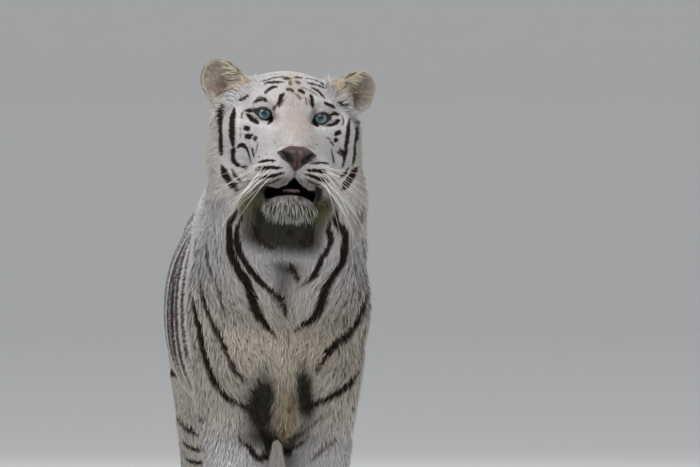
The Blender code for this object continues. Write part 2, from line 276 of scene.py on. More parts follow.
def in_ear(points, side):
    """The ear's own axes: across it towards the outside, out of its cup, up along it."""
    middle, turned = ear_place(side)
    own = (to_head(points) - middle) @ turned
    own[:, 0] *= side
    return own


def ear_share(own):
    """How far from the hollow's middle towards the rim, as a share."""
    rim = loop_points(EAR_RIM, 64) - np.array(EAR_HOLLOW)
    turn = np.arctan2(rim[:, 1], rim[:, 0])
    order = np.argsort(turn)
    across, up = own[:, 0] - EAR_HOLLOW[0], own[:, 2] - EAR_HOLLOW[1]
    reach = np.interp(np.arctan2(up, across), turn[order], np.hypot(*rim.T)[order], period=2 * math.pi)
    return np.clip(np.hypot(across, up) / reach, 0, 1)


def ear_inside(own):
    """1 on the cup's inner face, 0 on its back."""
    share = ear_share(own)
    inner = 0.003 * share - EAR_DEPTH * (1 - share**1.9)
    return ramp(own[:, 1] - inner, -0.0040, -0.0020) * ramp(share, 1.0, 0.95)


def ear_fringe(own):
    """1 along the cup's inner edge, where long pale hairs stand across its mouth."""
    return ear_inside(own) * ramp(own[:, 0], -0.008, -0.020) * ramp(own[:, 2], 0.024, 0.008)


# ---------------------------------------------------------------- how deep the coat is
def head_side(points):
    """Metres in front of the plane where the head's finer skin starts."""
    return (to_head(points) - np.array(HEAD_PLANE)) @ unit(HEAD_PLANE_NORMAL)


def coat_depth(points):
    _, y, z = np.asarray(points, float).T
    _, ahead, up = to_head(points).T
    body = layered(np.full(len(y), 0.0062), (
        (0.015, 1, (y, -0.25, -0.50), (z, 0.36, 0.46)),
        (0.013, 1, (z, 0.52, 0.44), (y, -0.40, -0.25), (y, 0.45, 0.3)),
        (0.0065, 1, (z, 0.44, 0.37)),
        (0.0035, 1, (z, 0.12, 0.07)),
        (0.0090, 1, (y, 0.64, 0.72)),
    ))
    head = layered(np.full(len(y), 0.0105), (
        (0.008, 1, (up, 0.005, 0.045)),
        (0.004, 1, (ahead, -0.075, -0.020), (up, -0.150, -0.125)),
        (0.0025, 1, (ahead, 0.035, 0.065), (up, -0.150, -0.135)),
        (0.007, 1, (up, -0.150, -0.170), (ahead, 0.0, 0.04)),
    ))
    return mix(body, head, ramp(head_side(points), -0.06, 0.02))


# ---------------------------------------------------------------- the bare body
FLESH = [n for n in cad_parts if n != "tongue"]


BEHIND_LIPS = ((0, 0.070, -0.142), (0.056, 0.062, 0.017))  # fills the gap where the mouth is cut later
FACETS_AWAY = 16  # rounds of smoothing


def bare_body():
    """The solids fused, smoothed of their facets and drawn in by the depth of the coat."""
    solids = [grown(n, CLOSE_GAPS) for n in FLESH if not n.startswith("ear")]
    solids.append(ellipsoid(*BEHIND_LIPS))
    base = smoothed(remeshed(joined("base", solids), BASE_VOXEL), FACETS_AWAY)
    points, normals = vertices_of(base), normals_of(base)
    set_vertices(base, points - normals * coat_depth(points)[:, None])
    return smoothed(base, 4)


# The ear's rim in its own axes: across towards the outside and up, then what lies under it
EAR_RIM = (
    (0.0385, -0.0060), (0.0345, 0.0150), (0.0210, 0.0330), (0.0020, 0.0395), (-0.0165, 0.0335),
    (-0.0300, 0.0160), (-0.0370, -0.0060), (-0.0390, -0.0280), (-0.0240, -0.0400), (0.0040, -0.0430),
    (0.0270, -0.0380), (0.0370, -0.0240),
)
EAR_BASE, EAR_BASE_RADII = (0.0, -0.012, -0.054), (0.038, 0.027)
EAR_HOLLOW, EAR_DEPTH = (0.004, -0.014), 0.0185


def ear(side):
    """One ear: a funnel from a broad base to its rim, then down into its hollow."""
    rim = loop_points(EAR_RIM, 64)
    across, up = rim.T
    angle = np.arctan2(up, across)
    fore = 0.003 + 0.010 * (across / 0.038) ** 2 * ramp(up, 0.030, -0.010)
    edge = np.stack([across, fore, up], axis=1)
    base = np.array(EAR_BASE) + np.stack(
        [EAR_BASE_RADII[0] * np.cos(angle), -EAR_BASE_RADII[1] * np.sin(angle), 0 * angle], axis=1
    )
    rings = []
    for k in (0.0, 0.2, 0.4, 0.6, 0.78, 0.92, 1.0):
        ring = mix(base, edge, k)
        ring[:, 1] -= 0.0120 * math.sin(math.pi * k**0.9) * np.maximum(np.sin(angle), 0)
        ring[:, 1] -= 0.0052 * ramp(k, 0, 0.6) * ramp(np.sin(angle), -0.6, 0.0)
        rings.append(ring)
    middle = np.array((EAR_HOLLOW[0], 0, EAR_HOLLOW[1]))
    for k in (0.985, 0.93, 0.86, 0.72, 0.55, 0.38, 0.2):
        ring = middle + (edge - middle) * k
        ring[:, 1] = fore * k - EAR_DEPTH * (1 - k**1.9)
        rings.append(ring)
    vertices = np.concatenate(rings + [[np.array(EAR_BASE)], [[EAR_HOLLOW[0], -EAR_DEPTH, EAR_HOLLOW[1]]]])
    vertices = from_ear(vertices, side)
    return vertices, facing_out(vertices, capped_faces(len(rings), len(rim)))


def between(a, b, c, d, steps):
    """Points on the smooth curve from b up to c, with a before them and d after."""
    return [
        0.5 * (2 * b + (c - a) * t + (2 * a - 5 * b + 4 * c - d) * t * t + (3 * b - a - 3 * c + d) * t ** 3)
        for t in np.linspace(0, 1, steps, endpoint=False)
    ]


def length_along(line):
    return np.concatenate([[0], np.cumsum(np.linalg.norm(np.diff(line, axis=0), axis=1))])


def read_at(at, along, values):
    return np.stack([np.interp(at, along, values[:, k]) for k in range(values.shape[1])], axis=1)


def loop_points(corners, count):
    """Points spread evenly on a smooth closed curve through the corners."""
    corners = np.asarray(corners, float)
    dense = []
    for i in range(len(corners)):
        dense += between(*(corners[(i + k) % len(corners)] for k in (-1, 0, 1, 2)), 24)
    dense = np.array(dense + dense[:1])
    along = length_along(dense)
    return read_at(np.linspace(0, along[-1], count, endpoint=False), along, dense)


# The mouth's opening as seen from in front, out and up in the head's axes
MOUTH = (
    (-0.0530, -0.1520), (-0.0460, -0.1430), (-0.0370, -0.1415), (-0.0280, -0.1425), (-0.0170, -0.1385),
    (-0.0070, -0.1270), (0.0000, -0.1195), (0.0070, -0.1270), (0.0170, -0.1385), (0.0280, -0.1425),
    (0.0370, -0.1415), (0.0460, -0.1430), (0.0530, -0.1520), (0.0500, -0.1640), (0.0420, -0.1650),
    (0.0300, -0.1590), (0.0150, -0.1555), (0.0000, -0.1545), (-0.0150, -0.1555), (-0.0300, -0.1590),
    (-0.0420, -0.1650), (-0.0500, -0.1640),
)
MOUTH_MIDDLE, MOUTH_BACK = (0.0, -0.148), 0.026
# How far ahead each ring of the cutter lies, and its size as a share of the outline
MOUTH_RINGS = ((0.160, 1.0), (0.112, 1.0), (0.085, 1.0), (0.060, 0.94), (0.040, 0.80), (0.028, 0.5))


def mouth_cutter():
    """A deepening funnel of the mouth's outline."""
    outline = loop_points(MOUTH, 96)
    middle = np.array(MOUTH_MIDDLE)
    rings = []
    for ahead, share in MOUTH_RINGS:
        ring = middle + (outline - middle) * share
        bow = 0.55 * np.abs(ring[:, 0]) * (ahead < 0.12)
        rings.append(np.stack([ring[:, 0], ahead - bow * 0.2, ring[:, 1]], axis=1))
    ends = [(middle[0], rings[0][:, 1].mean(), middle[1]), (middle[0], MOUTH_BACK, middle[1])]
    vertices = from_head(np.concatenate(rings + [ends]))
    return new_object("mouth_cutter", vertices, facing_out(vertices, capped_faces(len(rings), len(outline))))


# What the muzzle is built up with under its short hair: middle and radii in the head's axes
MUZZLE = (
    ((0.034, 0.091, -0.112), (0.037, 0.039, 0.0305)),
    ((-0.034, 0.091, -0.112), (0.037, 0.039, 0.0305)),
    ((0.0, 0.066, -0.170), (0.047, 0.040, 0.021)),
)


def fine_head(base):
    """The head again with its ears, pads, chin and open mouth, in a finer net."""
    solids = [taken(base)] + [ellipsoid(*m) for m in MUZZLE] + [ear(side) for side in EARS]
    head = remeshed(joined("head_skin", solids), UNCUT_VOXEL)
    cut(head, mouth_cutter())
    remeshed(head, FACE_VOXEL)
    return smoothed(head, 3)


def halved(obj, keep_head):
    """Keeps the part of the skin on one side of the plane behind the head."""
    where = from_head(np.array(HEAD_PLANE))
    normal = unit(AXES @ np.array(HEAD_PLANE_NORMAL))
    shift = HEAD_PLANE_MARGIN * (1 if keep_head else -1)
    bm = bmesh.new()
    bm.from_mesh(obj.data)
    bmesh.ops.bisect_plane(
        bm, geom=bm.verts[:] + bm.edges[:] + bm.faces[:], dist=1e-6,
        plane_co=where + normal * shift, plane_no=normal,
        clear_inner=keep_head, clear_outer=not keep_head,
    )
    bm.to_mesh(obj.data)
    bm.free()
    obj.data.update()
    return obj


def largest_island(bm):
    """Drops all but the largest connected piece."""
    left, best = set(bm.verts), []
    while left:
        seed = left.pop()
        island, front = [seed], [seed]
        while front:
            for edge in front.pop().link_edges:
                for other in edge.verts:
                    if other in left:
                        left.discard(other)
                        island.append(other)
                        front.append(other)
        if len(island) > len(best):
            best = island
    keep = set(best)
    bmesh.ops.delete(bm, geom=[v for v in bm.verts if v not in keep], context="VERTS")


def one_skin():
    base = bare_body()
    base_pair = vertices_of(base), polygons_of(base)
    head = halved(fine_head(base), keep_head=True)
    body = remeshed(joined("body", [base_pair]), BODY_VOXEL)
    body = halved(smoothed(body, 2), keep_head=False)
    skin = joined("skin", [taken(body), taken(head)])
    bm = bmesh.new()
    bm.from_mesh(skin.data)
    bmesh.ops.bridge_loops(bm, edges=[e for e in bm.edges if e.is_boundary])
    largest_island(bm)
    bmesh.ops.recalc_face_normals(bm, faces=bm.faces)
    bm.to_mesh(skin.data)
    bm.free()
    skin.data.polygons.foreach_set("use_smooth", [True] * len(skin.data.polygons))
    skin.data.update()
    return skin


# ---------------------------------------------------------------- as seen from the front
VIEW_AWAY = math.radians(6)
VIEW_BACK = np.array((-math.sin(VIEW_AWAY), -math.cos(VIEW_AWAY), 0))
VIEW_RIGHT = np.array((math.cos(VIEW_AWAY), -math.sin(VIEW_AWAY), 0))
VIEW_DISTANCE, VIEW_ASIDE, VIEW_HEIGHT = 8.0, 0.112, 0.851
VIEWPOINT = EYE_LINE + VIEW_BACK * VIEW_DISTANCE + VIEW_RIGHT * VIEW_ASIDE
VIEWPOINT[2] = VIEW_HEIGHT


def front_plane(points):
    """Millimetres to the tiger's left and up of the eye line's middle, as the viewpoint sees the points."""
    ray = np.asarray(points, float) - VIEWPOINT
    share = ((EYE_LINE - VIEWPOINT) @ VIEW_BACK) / (ray @ VIEW_BACK)
    met = ray * share[:, None] + VIEWPOINT - EYE_LINE
    return met @ VIEW_RIGHT * 1000, met[:, 2] * 1000


# ---------------------------------------------------------------- the breast's ridge and hollows
# Each: middle and radii in millimetres from the front, its turn in degrees, how far it stands out in metres
BREAST = (
    ((-13, -480), (9, 100), 3, 0.012), ((-16, -590), (9, 60), 2, 0.012),
    ((-52, -556), (21, 44), 10, -0.032), ((17, -534), (15, 38), -6, -0.028),
    ((-102, -478), (34, 40), 20, 0.010), ((62, -462), (34, 40), -20, 0.010),
    ((-22, -300), (26, 40), 0, -0.006),
)


def sculpt_breast(obj):
    points = vertices_of(obj)
    u, v = front_plane(points)
    fore = ramp(points[:, 1], -0.50, -0.58) * (head_side(points) < -0.01)
    for middle, radii, turn, height in BREAST:
        points[:, 1] -= height * fore * bump(u, v, middle, radii, turn)
    set_vertices(obj, points)


# ---------------------------------------------------------------- the face's folds
# The eye's opening, from the middle of the ball: towards the temple and up
EYE_OPENING = (
    (-0.0168, -0.0106), (-0.0130, -0.0032), (-0.0100, 0.0028), (-0.0050, 0.0058), (0.0010, 0.0066),
    (0.0070, 0.0060), (0.0118, 0.0042), (0.0150, 0.0026), (0.0122, -0.0026), (0.0086, -0.0070),
    (0.0030, -0.0102), (-0.0035, -0.0108), (-0.0100, -0.0106),
)
LID_THICKNESS = 0.0016


def outline_distance(points, outline):
    """How far outside a closed outline the points lie, in its plane; inside is negative."""
    gap = np.full(len(points), 1e9)
    inside = np.zeros(len(points), bool)
    for a, b in zip(outline, np.roll(outline, -1, axis=0)):
        run = b - a
        t = np.clip(((points - a) @ run) / (run @ run), 0, 1)
        gap = np.minimum(gap, np.linalg.norm(points - a - t[:, None] * run, axis=1))
        crosses = (a[1] > points[:, 1]) != (b[1] > points[:, 1])
        with np.errstate(divide="ignore", invalid="ignore"):
            x = a[0] + (points[:, 1] - a[1]) * run[0] / run[1]
        inside ^= crosses & (points[:, 0] < x)
    return np.where(inside, -gap, gap)


def over_ball(a, b, lift):
    """How far ahead of the ball's middle a shell this far over it lies."""
    reach = EYE_RADIUS + lift
    return np.sqrt(np.maximum(reach**2 - a**2 - b**2, (0.30 * reach) ** 2))


def eye_axes(points, side):
    """From the head's axes to one eye's: towards the temple, up, ahead of the ball's middle."""
    ball = to_head(BALLS[side][None])[0]
    return (points[:, 0] - ball[0]) * side, points[:, 2] - ball[2], points[:, 1] - ball[1]


def bump(a, b, middle, radii, turn=0.0):
    """A soft hill of height 1, turned by degrees, over a plane."""
    t = math.radians(turn)
    u = (a - middle[0]) * math.cos(t) + (b - middle[1]) * math.sin(t)
    v = -(a - middle[0]) * math.sin(t) + (b - middle[1]) * math.cos(t)
    return np.exp(-((u / radii[0]) ** 2) - (v / radii[1]) ** 2)


def finer(obj, chosen):
    """Splits the chosen faces in four."""
    bm = bmesh.new()
    bm.from_mesh(obj.data)
    bm.verts.ensure_lookup_table()
    edges = [e for e in bm.edges if all(chosen[v.index] for v in e.verts)]
    bmesh.ops.subdivide_edges(bm, edges=edges, cuts=1, use_grid_fill=True)
    bm.to_mesh(obj.data)
    bm.free()
    obj.data.update()


# Rise in metres, middle and radii in the head's axes and turn of each swelling or hollow of one side,
# brow, beside the bridge, under the eye, the cheek's fold and the pad's edge, then of the middle
SIDE_FOLDS = (
    (0.0050, (0.046, 0.028), (0.024, 0.008), 12), (-0.0045, (0.034, -0.020), (0.010, 0.022), 20),
    (0.0030, (0.062, -0.030), (0.026, 0.010), 14), (-0.0035, (0.066, -0.078), (0.008, 0.030), 24),
    (-0.0020, (0.027, -0.083), (0.006, 0.020), -24),
)
MIDDLE_FOLDS = (
    (-0.0025, (0, 0.040), (0.006, 0.030)), (-0.0070, (0, -0.1130), (0.0028, 0.0150)),
    (-0.0025, (0, -0.1120), (0.0090, 0.0160)),
)


EYE_OUT = 0.0565


def sculpt_face(obj):
    head = to_head(vertices_of(obj))
    out, ahead, up = head.T
    near_eyes = (np.hypot(np.abs(out) - EYE_OUT, up) < 0.034) & (ahead > -0.040)
    muzzle = (np.abs(out) < 0.066) & (ahead > 0.045) & (up > -0.172) & (up < -0.056)
    finer(obj, near_eyes | muzzle)
    head = to_head(vertices_of(obj))
    out, ahead, up = head.T
    front = ramp(ahead, -0.050, -0.020)
    for side in EARS:
        a = out * side
        for rise, *place in SIDE_FOLDS:
            ahead = ahead + front * rise * bump(a, up, *place)
    up = up + 0.0040 * ramp(up, 0.035, 0.070) * ramp(np.abs(out), 0.105, 0.070)
    for rise, *place in MIDDLE_FOLDS:
        ahead = ahead + front * rise * bump(out, up, *place)
    under_nose = ramp(np.abs(out) / 0.030 + np.abs(up + 0.0855) / 0.0225, 1.08, 0.75)
    ahead = ahead - 0.016 * under_nose * ramp(ahead, 0.09, 0.11)
    head = np.stack([out, ahead, up], axis=1)
    # lids
    outline = loop_points(EYE_OPENING, 80)
    for side in EARS:
        a, b, c = eye_axes(head, side)
        near = (np.hypot(a, b) < 0.036) & (c > -0.034)
        gap = outline_distance(np.stack([a, b], axis=1)[near], outline)
        a, b, c = a[near], b[near], c[near]
        shell = over_ball(a, b, LID_THICKNESS)
        settled = mix(shell + 0.12 * np.maximum(gap, 0), c, ramp(gap, 0.003, 0.015))
        settled -= 0.0010 * np.exp(-(((gap - 0.0075) / 0.0016) ** 2)) * ramp(b, 0.0, 0.006)
        settled = np.where(gap < 0.0012, over_ball(a, b, 0) - 0.0035, settled)
        head[near, 1] += settled - c
    set_vertices(obj, from_head(head))


# Toes and the clefts between them, as shares of a paw's half width
PAWS = ("forepaw_left", "forepaw_right", "hindpaw_left", "hindpaw_right")
TOES, CLEFTS = (-0.70, -0.25, 0.25, 0.70), (-0.475, 0.0, 0.475)
TOES_REACH, TOES_HEIGHT = 0.085, 0.085


def on_toes(points, name):
    """Which points are near a paw's toes, how far across it they lie and how far behind its front."""
    low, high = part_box(name)
    share = (points[:, 0] - (low[0] + high[0]) / 2) / ((high[0] - low[0]) / 2)
    behind = points[:, 1] - low[1]
    near = (np.abs(share) < 1.3) & (behind > -0.02) & (behind < TOES_REACH) & (points[:, 2] < TOES_HEIGHT)
    return near, share, behind


def sculpt_paws(obj):
    for _ in range(2):
        points = vertices_of(obj)
        finer(obj, np.logical_or.reduce([on_toes(points, name)[0] for name in PAWS]))
    points, normals = vertices_of(obj), normals_of(obj)
    for name in PAWS:
        near, share, behind = on_toes(points, name)
        much = ramp(behind, 0.078, 0.046) * ramp(points[:, 2], TOES_HEIGHT, 0.060) * near
        rise = sum(0.0040 * np.exp(-(((share - toe) / 0.17) ** 2)) for toe in TOES)
        rise = rise - sum(0.0090 * np.exp(-(((share - cleft) / 0.062) ** 2)) for cleft in CLEFTS)
        rise = rise - 0.0030 * np.exp(-(((behind - 0.066) / 0.010) ** 2)) * ramp(points[:, 2], 0.04, 0.06)
        points = points + normals * (rise * much)[:, None]
    points[:, 2] = np.maximum(points[:, 2], 0.001)
    set_vertices(obj, points)


def rim_breadth(up):
    """How much broader the bare rim is above the eye than below it."""
    return mix(0.80, 1.95, ramp(up, -0.006, 0.005))


# Each ring of a lid: how far outside the opening, how far off the ball, how much it follows the skin
LID_RINGS = (
    (-0.0022, -0.0016, 0), (-0.0008, -0.0002, 0), (0.0000, 0.0009, 0), (0.0008, 0.0017, 0),
    (0.0018, 0.0021, 0), (0.0032, 0.0020, 0.4), (0.0048, 0.0014, 1),
)


def lid_band(side, skin_tree):
    """The rounded rim round one eye's opening, which starts under the lid and ends under the skin."""
    count = 96
    outline = loop_points(EYE_OPENING, count)
    run = unit(np.roll(outline, -1, axis=0) - np.roll(outline, 1, axis=0))
    outward = np.stack([run[:, 1], -run[:, 0]], axis=1)
    if np.sum(outward * (outline - outline.mean(axis=0))) < 0:
        outward = -outward
    ball = to_head(BALLS[side][None])[0]
    rows = []
    broad = rim_breadth(outline[:, 1])[:, None]
    for width, lift, sunk in LID_RINGS:
        ring = outline + outward * width * (broad if width > 0 else 1)
        c = over_ball(ring[:, 0], ring[:, 1], lift)
        points = np.stack([ball[0] + ring[:, 0] * side, ball[1] + c, ball[2] + ring[:, 1]], axis=1)
        if sunk:
            for k, point in enumerate(points):
                start = from_head(point + np.array((0, 0.04, 0)))
                hit = skin_tree.ray_cast(Vector(start), Vector(-AHEAD), 0.08)[0]
                if hit is not None:
                    level = to_head(np.array(hit)[None])[0][1] - 0.0012 * sunk
                    points[k][1] = mix(points[k][1], level, sunk)
        rows.append(points)
    faces = grid_faces(len(rows), count)
    return from_head(np.concatenate(rows)), faces if side > 0 else [f[::-1] for f in faces]


skin = one_skin()
sculpt_breast(skin)
sculpt_face(skin)
sculpt_paws(skin)


def tree_of(obj):
    return BVHTree.FromPolygons(vertices_of(obj).tolist(), polygons_of(obj))


SKIN_TREE = tree_of(skin)
lids = joined("lids", [lid_band(side, SKIN_TREE) for side in EARS])


# ---------------------------------------------------------------- eyes
CORNEA_RISE = 0.050  # as a share of the ball's radius
GAZE = {-1: unit((0.010, -1.0, 0.000)), 1: unit((-0.092, -1.0, 0.025))}


def eyeball(side, name):
    co, faces = ball(96, 72)
    turn = Vector((0, 0, 1)).rotation_difference(Vector(GAZE[side])).to_matrix()
    off = np.degrees(np.arccos(np.clip(co[:, 2], -1, 1)))
    angle = np.arctan2(co[:, 1], co[:, 0])
    radius = EYE_RADIUS * (1 + CORNEA_RISE * ramp(off, 52, 20))
    points = (co * radius[:, None]) @ np.array(turn).T + BALLS[side]
    obj = new_object(name, points, faces)
    up = eye_axes(to_head(points), side)[1]
    shaded = ramp(up, -0.0015, 0.0072)  # the upper lid keeps the light off the top of the ball
    for key, values in (("off_axis", off), ("around", angle), ("lid_shade", shaded)):
        attribute(obj, key, values)
    return obj


eyes = {side: eyeball(side, "eyeball_" + ("left" if side > 0 else "right")) for side in EARS}


# ---------------------------------------------------------------- nose
# From the top of the nose to its foot: share of the height, half width, how far ahead, in the head's axes
NOSE_ROWS = (
    (-0.10, 0.024, 0.108), (0.00, 0.0290, 0.1265), (0.10, 0.0345, 0.1400), (0.22, 0.0365, 0.1465),
    (0.38, 0.0330, 0.1485), (0.55, 0.0255, 0.1470), (0.72, 0.0165, 0.1430), (0.86, 0.0095, 0.1385),
    (1.00, 0.0050, 0.1330), (1.08, 0.0030, 0.1240),
)
NOSE_TOP, NOSE_FOOT = -0.0615, -0.1050
NOSTRIL_DEPTH = 0.0105
NOSTRIL = ((0.0125, -0.0900), (0.0165, -0.0850), (0.0225, -0.0800), (0.0290, -0.0765), (0.0345, -0.0730))


def nose_pad():
    columns, lines = 121, 101
    table = np.array(NOSE_ROWS)
    t = np.linspace(table[0, 0], table[-1, 0], lines)
    half = np.interp(t, table[:, 0], table[:, 1])
    fore = np.interp(t, table[:, 0], table[:, 2])
    for _ in range(6):
        half[1:-1] = (half[:-2] + 2 * half[1:-1] + half[2:]) / 4
        fore[1:-1] = (fore[:-2] + 2 * fore[1:-1] + fore[2:]) / 4
    s = np.linspace(-1.22, 1.22, columns)
    S, T = np.meshgrid(s, t)
    inner = np.clip(np.abs(S), 0, 1)
    beyond = np.maximum(np.abs(S) - 1, 0)
    out = np.sign(S) * (inner * half[:, None] + beyond * 0.010)
    up = NOSE_TOP + (NOSE_FOOT - NOSE_TOP) * T - 0.0085 * inner**3.4 * ramp(T, 0.6, 0.0)
    ahead = fore[:, None] - 0.0125 * (half[:, None] / 0.036) * inner**2.6 - 0.050 * beyond
    wing = bump(np.abs(out), up, (0.0275, -0.0860), (0.0080, 0.0060), 30)
    ahead = ahead + 0.0030 * wing
    ahead = ahead + 0.0016 * bump(np.abs(out), up, (0.0080, -0.0800), (0.0070, 0.0140))
    ahead = ahead - 0.0022 * np.exp(-((out / 0.0013) ** 2)) * ramp(T, 0.35, 0.75)
    ahead = ahead - 0.0010 * np.exp(-((out / 0.0030) ** 2)) * ramp(T, 0.0, 0.3)
    path = np.array(NOSTRIL)
    hole = np.zeros_like(out)
    for k in range(len(path) - 1):
        for u in np.linspace(0, 1, 6):
            spot = mix(path[k], path[k + 1], u)
            share = (k + u) / (len(path) - 1)
            width = mix(0.0056, 0.0024, share**0.8)
            dent = mix(1.0, 0.60, share) * bump(np.abs(out), up, spot, (width, width))
            hole = np.maximum(hole, dent)
    ahead = ahead - NOSTRIL_DEPTH * hole
    vertices = from_head(np.stack([out, ahead, up], axis=-1).reshape(-1, 3))
    obj = new_object("nose_leather", vertices, grid_faces(lines, columns, closed=False))
    attribute(obj, "hole", hole.ravel())
    return obj


nose = nose_pad()


# ---------------------------------------------------------------- tongue
TONGUE = ((0.001, 0.066, -0.1465), (0.0165, 0.040, 0.0052))  # middle and radii


def tongue_piece():
    points, faces = ellipsoid(*TONGUE, 64, 40)
    head = to_head(points)
    furrow = np.exp(-(((head[:, 0] - TONGUE[0][0]) / 0.003) ** 2)) * ramp(head[:, 2], -0.1475, -0.1420)
    head[:, 2] -= 0.0020 * furrow
    head[:, 2] -= 0.0060 * ramp(head[:, 1], 0.06, 0.03)
    return new_object("tongue_piece", from_head(head), faces)


tongue = tongue_piece()


# ---------------------------------------------------------------- markings
# Each is a line of points seen from the front: millimetres to the tiger's left and up from the middle of
# the eye line, upright, then its half width in millimetres at the middle and how dark it is.
HEAD_MARKS = (
    # crown
    (((-64, 70), (-55, 73), (-40, 76), (-24, 77)), 1.4, 0.6),
    (((-60, 64), (-47, 68), (-33, 72), (-18, 73), (-5, 72)), 2.5, 1.0),
    (((-55, 59), (-47, 63), (-33, 64), (-18, 64)), 2.9, 1.0),
    (((-54, 41), (-49, 47), (-41, 53), (-29, 56)), 3.1, 1.0),
    (((-16, 69), (-8, 71), (-3, 71)), 3.1, 0.9), (((-13, 50), (-5, 51), (1, 46)), 2.6, 0.9),
    (((-5, 67), (-5, 62), (-5, 58)), 2.0, 0.6), (((4, 72), (11, 72), (18, 71)), 3.1, 0.95),
    (((7, 65), (10, 63), (14, 62)), 2.9, 0.7), (((14, 49), (17, 47), (20, 44)), 3.6, 1.0),
    (((4, 43), (10, 38), (15, 33), (20, 35)), 1.7, 0.6),
    (((20, 76), (38, 74), (54, 69), (68, 61)), 1.4, 0.6),
    (((23, 70), (36, 68), (48, 63), (59, 56), (65, 52)), 2.6, 1.0),
    (((26, 63), (39, 60), (51, 56), (61, 51)), 2.6, 1.0),
    (((36, 53), (47, 48), (54, 41), (61, 32)), 3.1, 1.0),
    (((-88, 58), (-79, 62), (-69, 65)), 2.9, 0.4), (((72, 54), (77, 50), (81, 44)), 2.9, 0.4),
    # above the inner corners of the eyes
    (((-16, 43), (-22, 38), (-24, 27), (-26, 17)), 3.1, 1.0),
    (((-30, 22), (-32, 18), (-35, 14)), 2.6, 0.8),
    (((-14, 34), (-19, 27), (-24, 16)), 1.4, 0.6), (((35, 40), (37, 30), (37, 17)), 3.0, 1.0),
    (((30, 34), (33, 26), (34, 16)), 1.4, 0.6), (((24, 36), (27, 28), (26, 20)), 1.3, 0.5),
    # brows
    (((-76, 24), (-68, 30), (-55, 33), (-49, 27)), 2.6, 1.0),
    (((-70, 34), (-62, 37), (-54, 36)), 1.2, 0.9),
    (((61, 26), (70, 22), (81, 16)), 2.8, 1.0), (((84, 24), (92, 18), (100, 11)), 3.0, 1.0),
    (((-101, 26), (-92, 32), (-85, 37)), 3.4, 1.0),
    # round the eyes
    (((-94, 8), (-82, 12), (-68, 13)), 2.0, 1.0), (((-99, -6), (-98, 4), (-93, 9)), 1.4, 0.8),
    (((-89, 3), (-80, -6), (-66, -17)), 3.4, 1.0),
    (((-41, 1), (-39, -6), (-41, -12), (-47, -19)), 3.0, 1.0),
    (((46, -6), (45, -15), (47, -24)), 3.4, 1.0), (((73, 6), (83, 5), (93, 1)), 1.7, 1.0),
    (((66, -23), (80, -16), (92, -8)), 3.0, 1.0), (((93, 1), (98, -8), (96, -20)), 1.3, 0.7),
    # cheek spots
    (((-93, -22), (-88, -25), (-83, -26)), 3.8, 1.0), (((-90, -39), (-84, -41), (-77, -40)), 3.6, 1.0),
    (((-73, -42), (-71, -45), (-69, -48)), 3.0, 0.9),
    (((-101, -17), (-101, -30), (-99, -42)), 1.0, 0.6),
    (((-108, -61), (-98, -56), (-88, -62), (-83, -73), (-78, -93)), 2.8, 1.0),
    (((-77, -62), (-75, -71), (-73, -80)), 2.4, 1.0), (((-67, -52), (-68, -64), (-71, -74)), 1.3, 0.8),
    (((-113, -58), (-115, -74), (-112, -90), (-100, -97)), 3.8, 1.0),
    (((-100, -97), (-92, -100), (-84, -99)), 2.2, 0.9),
    (((80, -38), (86, -34), (93, -31)), 2.8, 1.0), (((79, -49), (82, -47), (86, -46)), 2.8, 1.0),
    (((70, -51), (74, -54), (79, -58)), 1.8, 0.9),
    (((90, -63), (97, -72), (99, -84), (95, -99)), 2.8, 1.0),
    (((73, -66), (75, -78), (79, -90)), 2.6, 0.9), (((84, -68), (92, -74), (96, -76)), 1.8, 0.8),
    (((64, -42), (68, -46), (73, -46)), 1.3, 0.7),
    # long stripes of the cheeks
    (((-133, 16), (-136, -8), (-137, -40), (-136, -75)), 6.2, 1.0),
    (((-113, 13), (-117, -12), (-117, -40), (-114, -62)), 4.8, 1.0),
    (((108, -8), (107, -30), (103, -60), (97, -92)), 3.8, 1.0),
    (((120, -14), (120, -42), (118, -68), (114, -94)), 6.4, 1.0),
    (((-137, -98), (-129, -118), (-106, -145)), 5.0, 1.0),
    (((-118, -104), (-112, -116), (-98, -128)), 2.4, 0.9),
    (((122, -102), (110, -124), (96, -144)), 5.0, 1.0),
    (((107, -100), (101, -112), (90, -122)), 2.4, 0.9),
    # rows on the whisker pads
    (((-66, -91), (-50, -88), (-33, -88)), 1.9, 1.0),
    (((-72, -105), (-48, -101), (-21, -101)), 2.8, 1.0),
    (((-72, -121), (-45, -118), (-16, -110)), 2.5, 1.0),
    (((-58, -131), (-40, -129), (-24, -121)), 1.5, 0.8),
    (((37, -93), (55, -92), (70, -94)), 1.8, 0.9), (((28, -105), (48, -107), (66, -109)), 2.8, 1.0),
    (((22, -112), (48, -121), (70, -127)), 2.5, 1.0), (((26, -122), (40, -130), (54, -134)), 1.5, 0.8),
    # lips' corners, chin and the eyes' dark inner corners
    (((-47, -134), (-53, -143), (-52, -156), (-47, -168)), 4.6, 1.0),
    (((46, -136), (51, -146), (48, -158), (43, -168)), 4.6, 1.0),
    (((-22, -163), (-12, -162), (-2, -163)), 2.0, 0.8),
    (((10, -159), (17, -162), (24, -167)), 2.8, 0.9),
    (((-14, -169), (-6, -170)), 1.6, 0.6), (((6, -171), (14, -172)), 1.6, 0.7),
    (((-69, 10), (-80, 9), (-90, 6)), 1.6, 1.0), (((70, 3), (82, 2), (92, 1)), 1.6, 1.0),
    # freckles
    (((-34, -53), (-32, -53)), 1.2, 0.8),
    (((45, -56), (47, -56)), 1.1, 0.7),
    (((-52, -76), (-50, -76)), 1.0, 0.8),
    (((-65, -80), (-63, -80)), 1.1, 0.8),
    (((35, -40), (35, -44)), 0.8, 0.6),
    (((-56, -44), (-54, -45)), 0.8, 0.6),
)
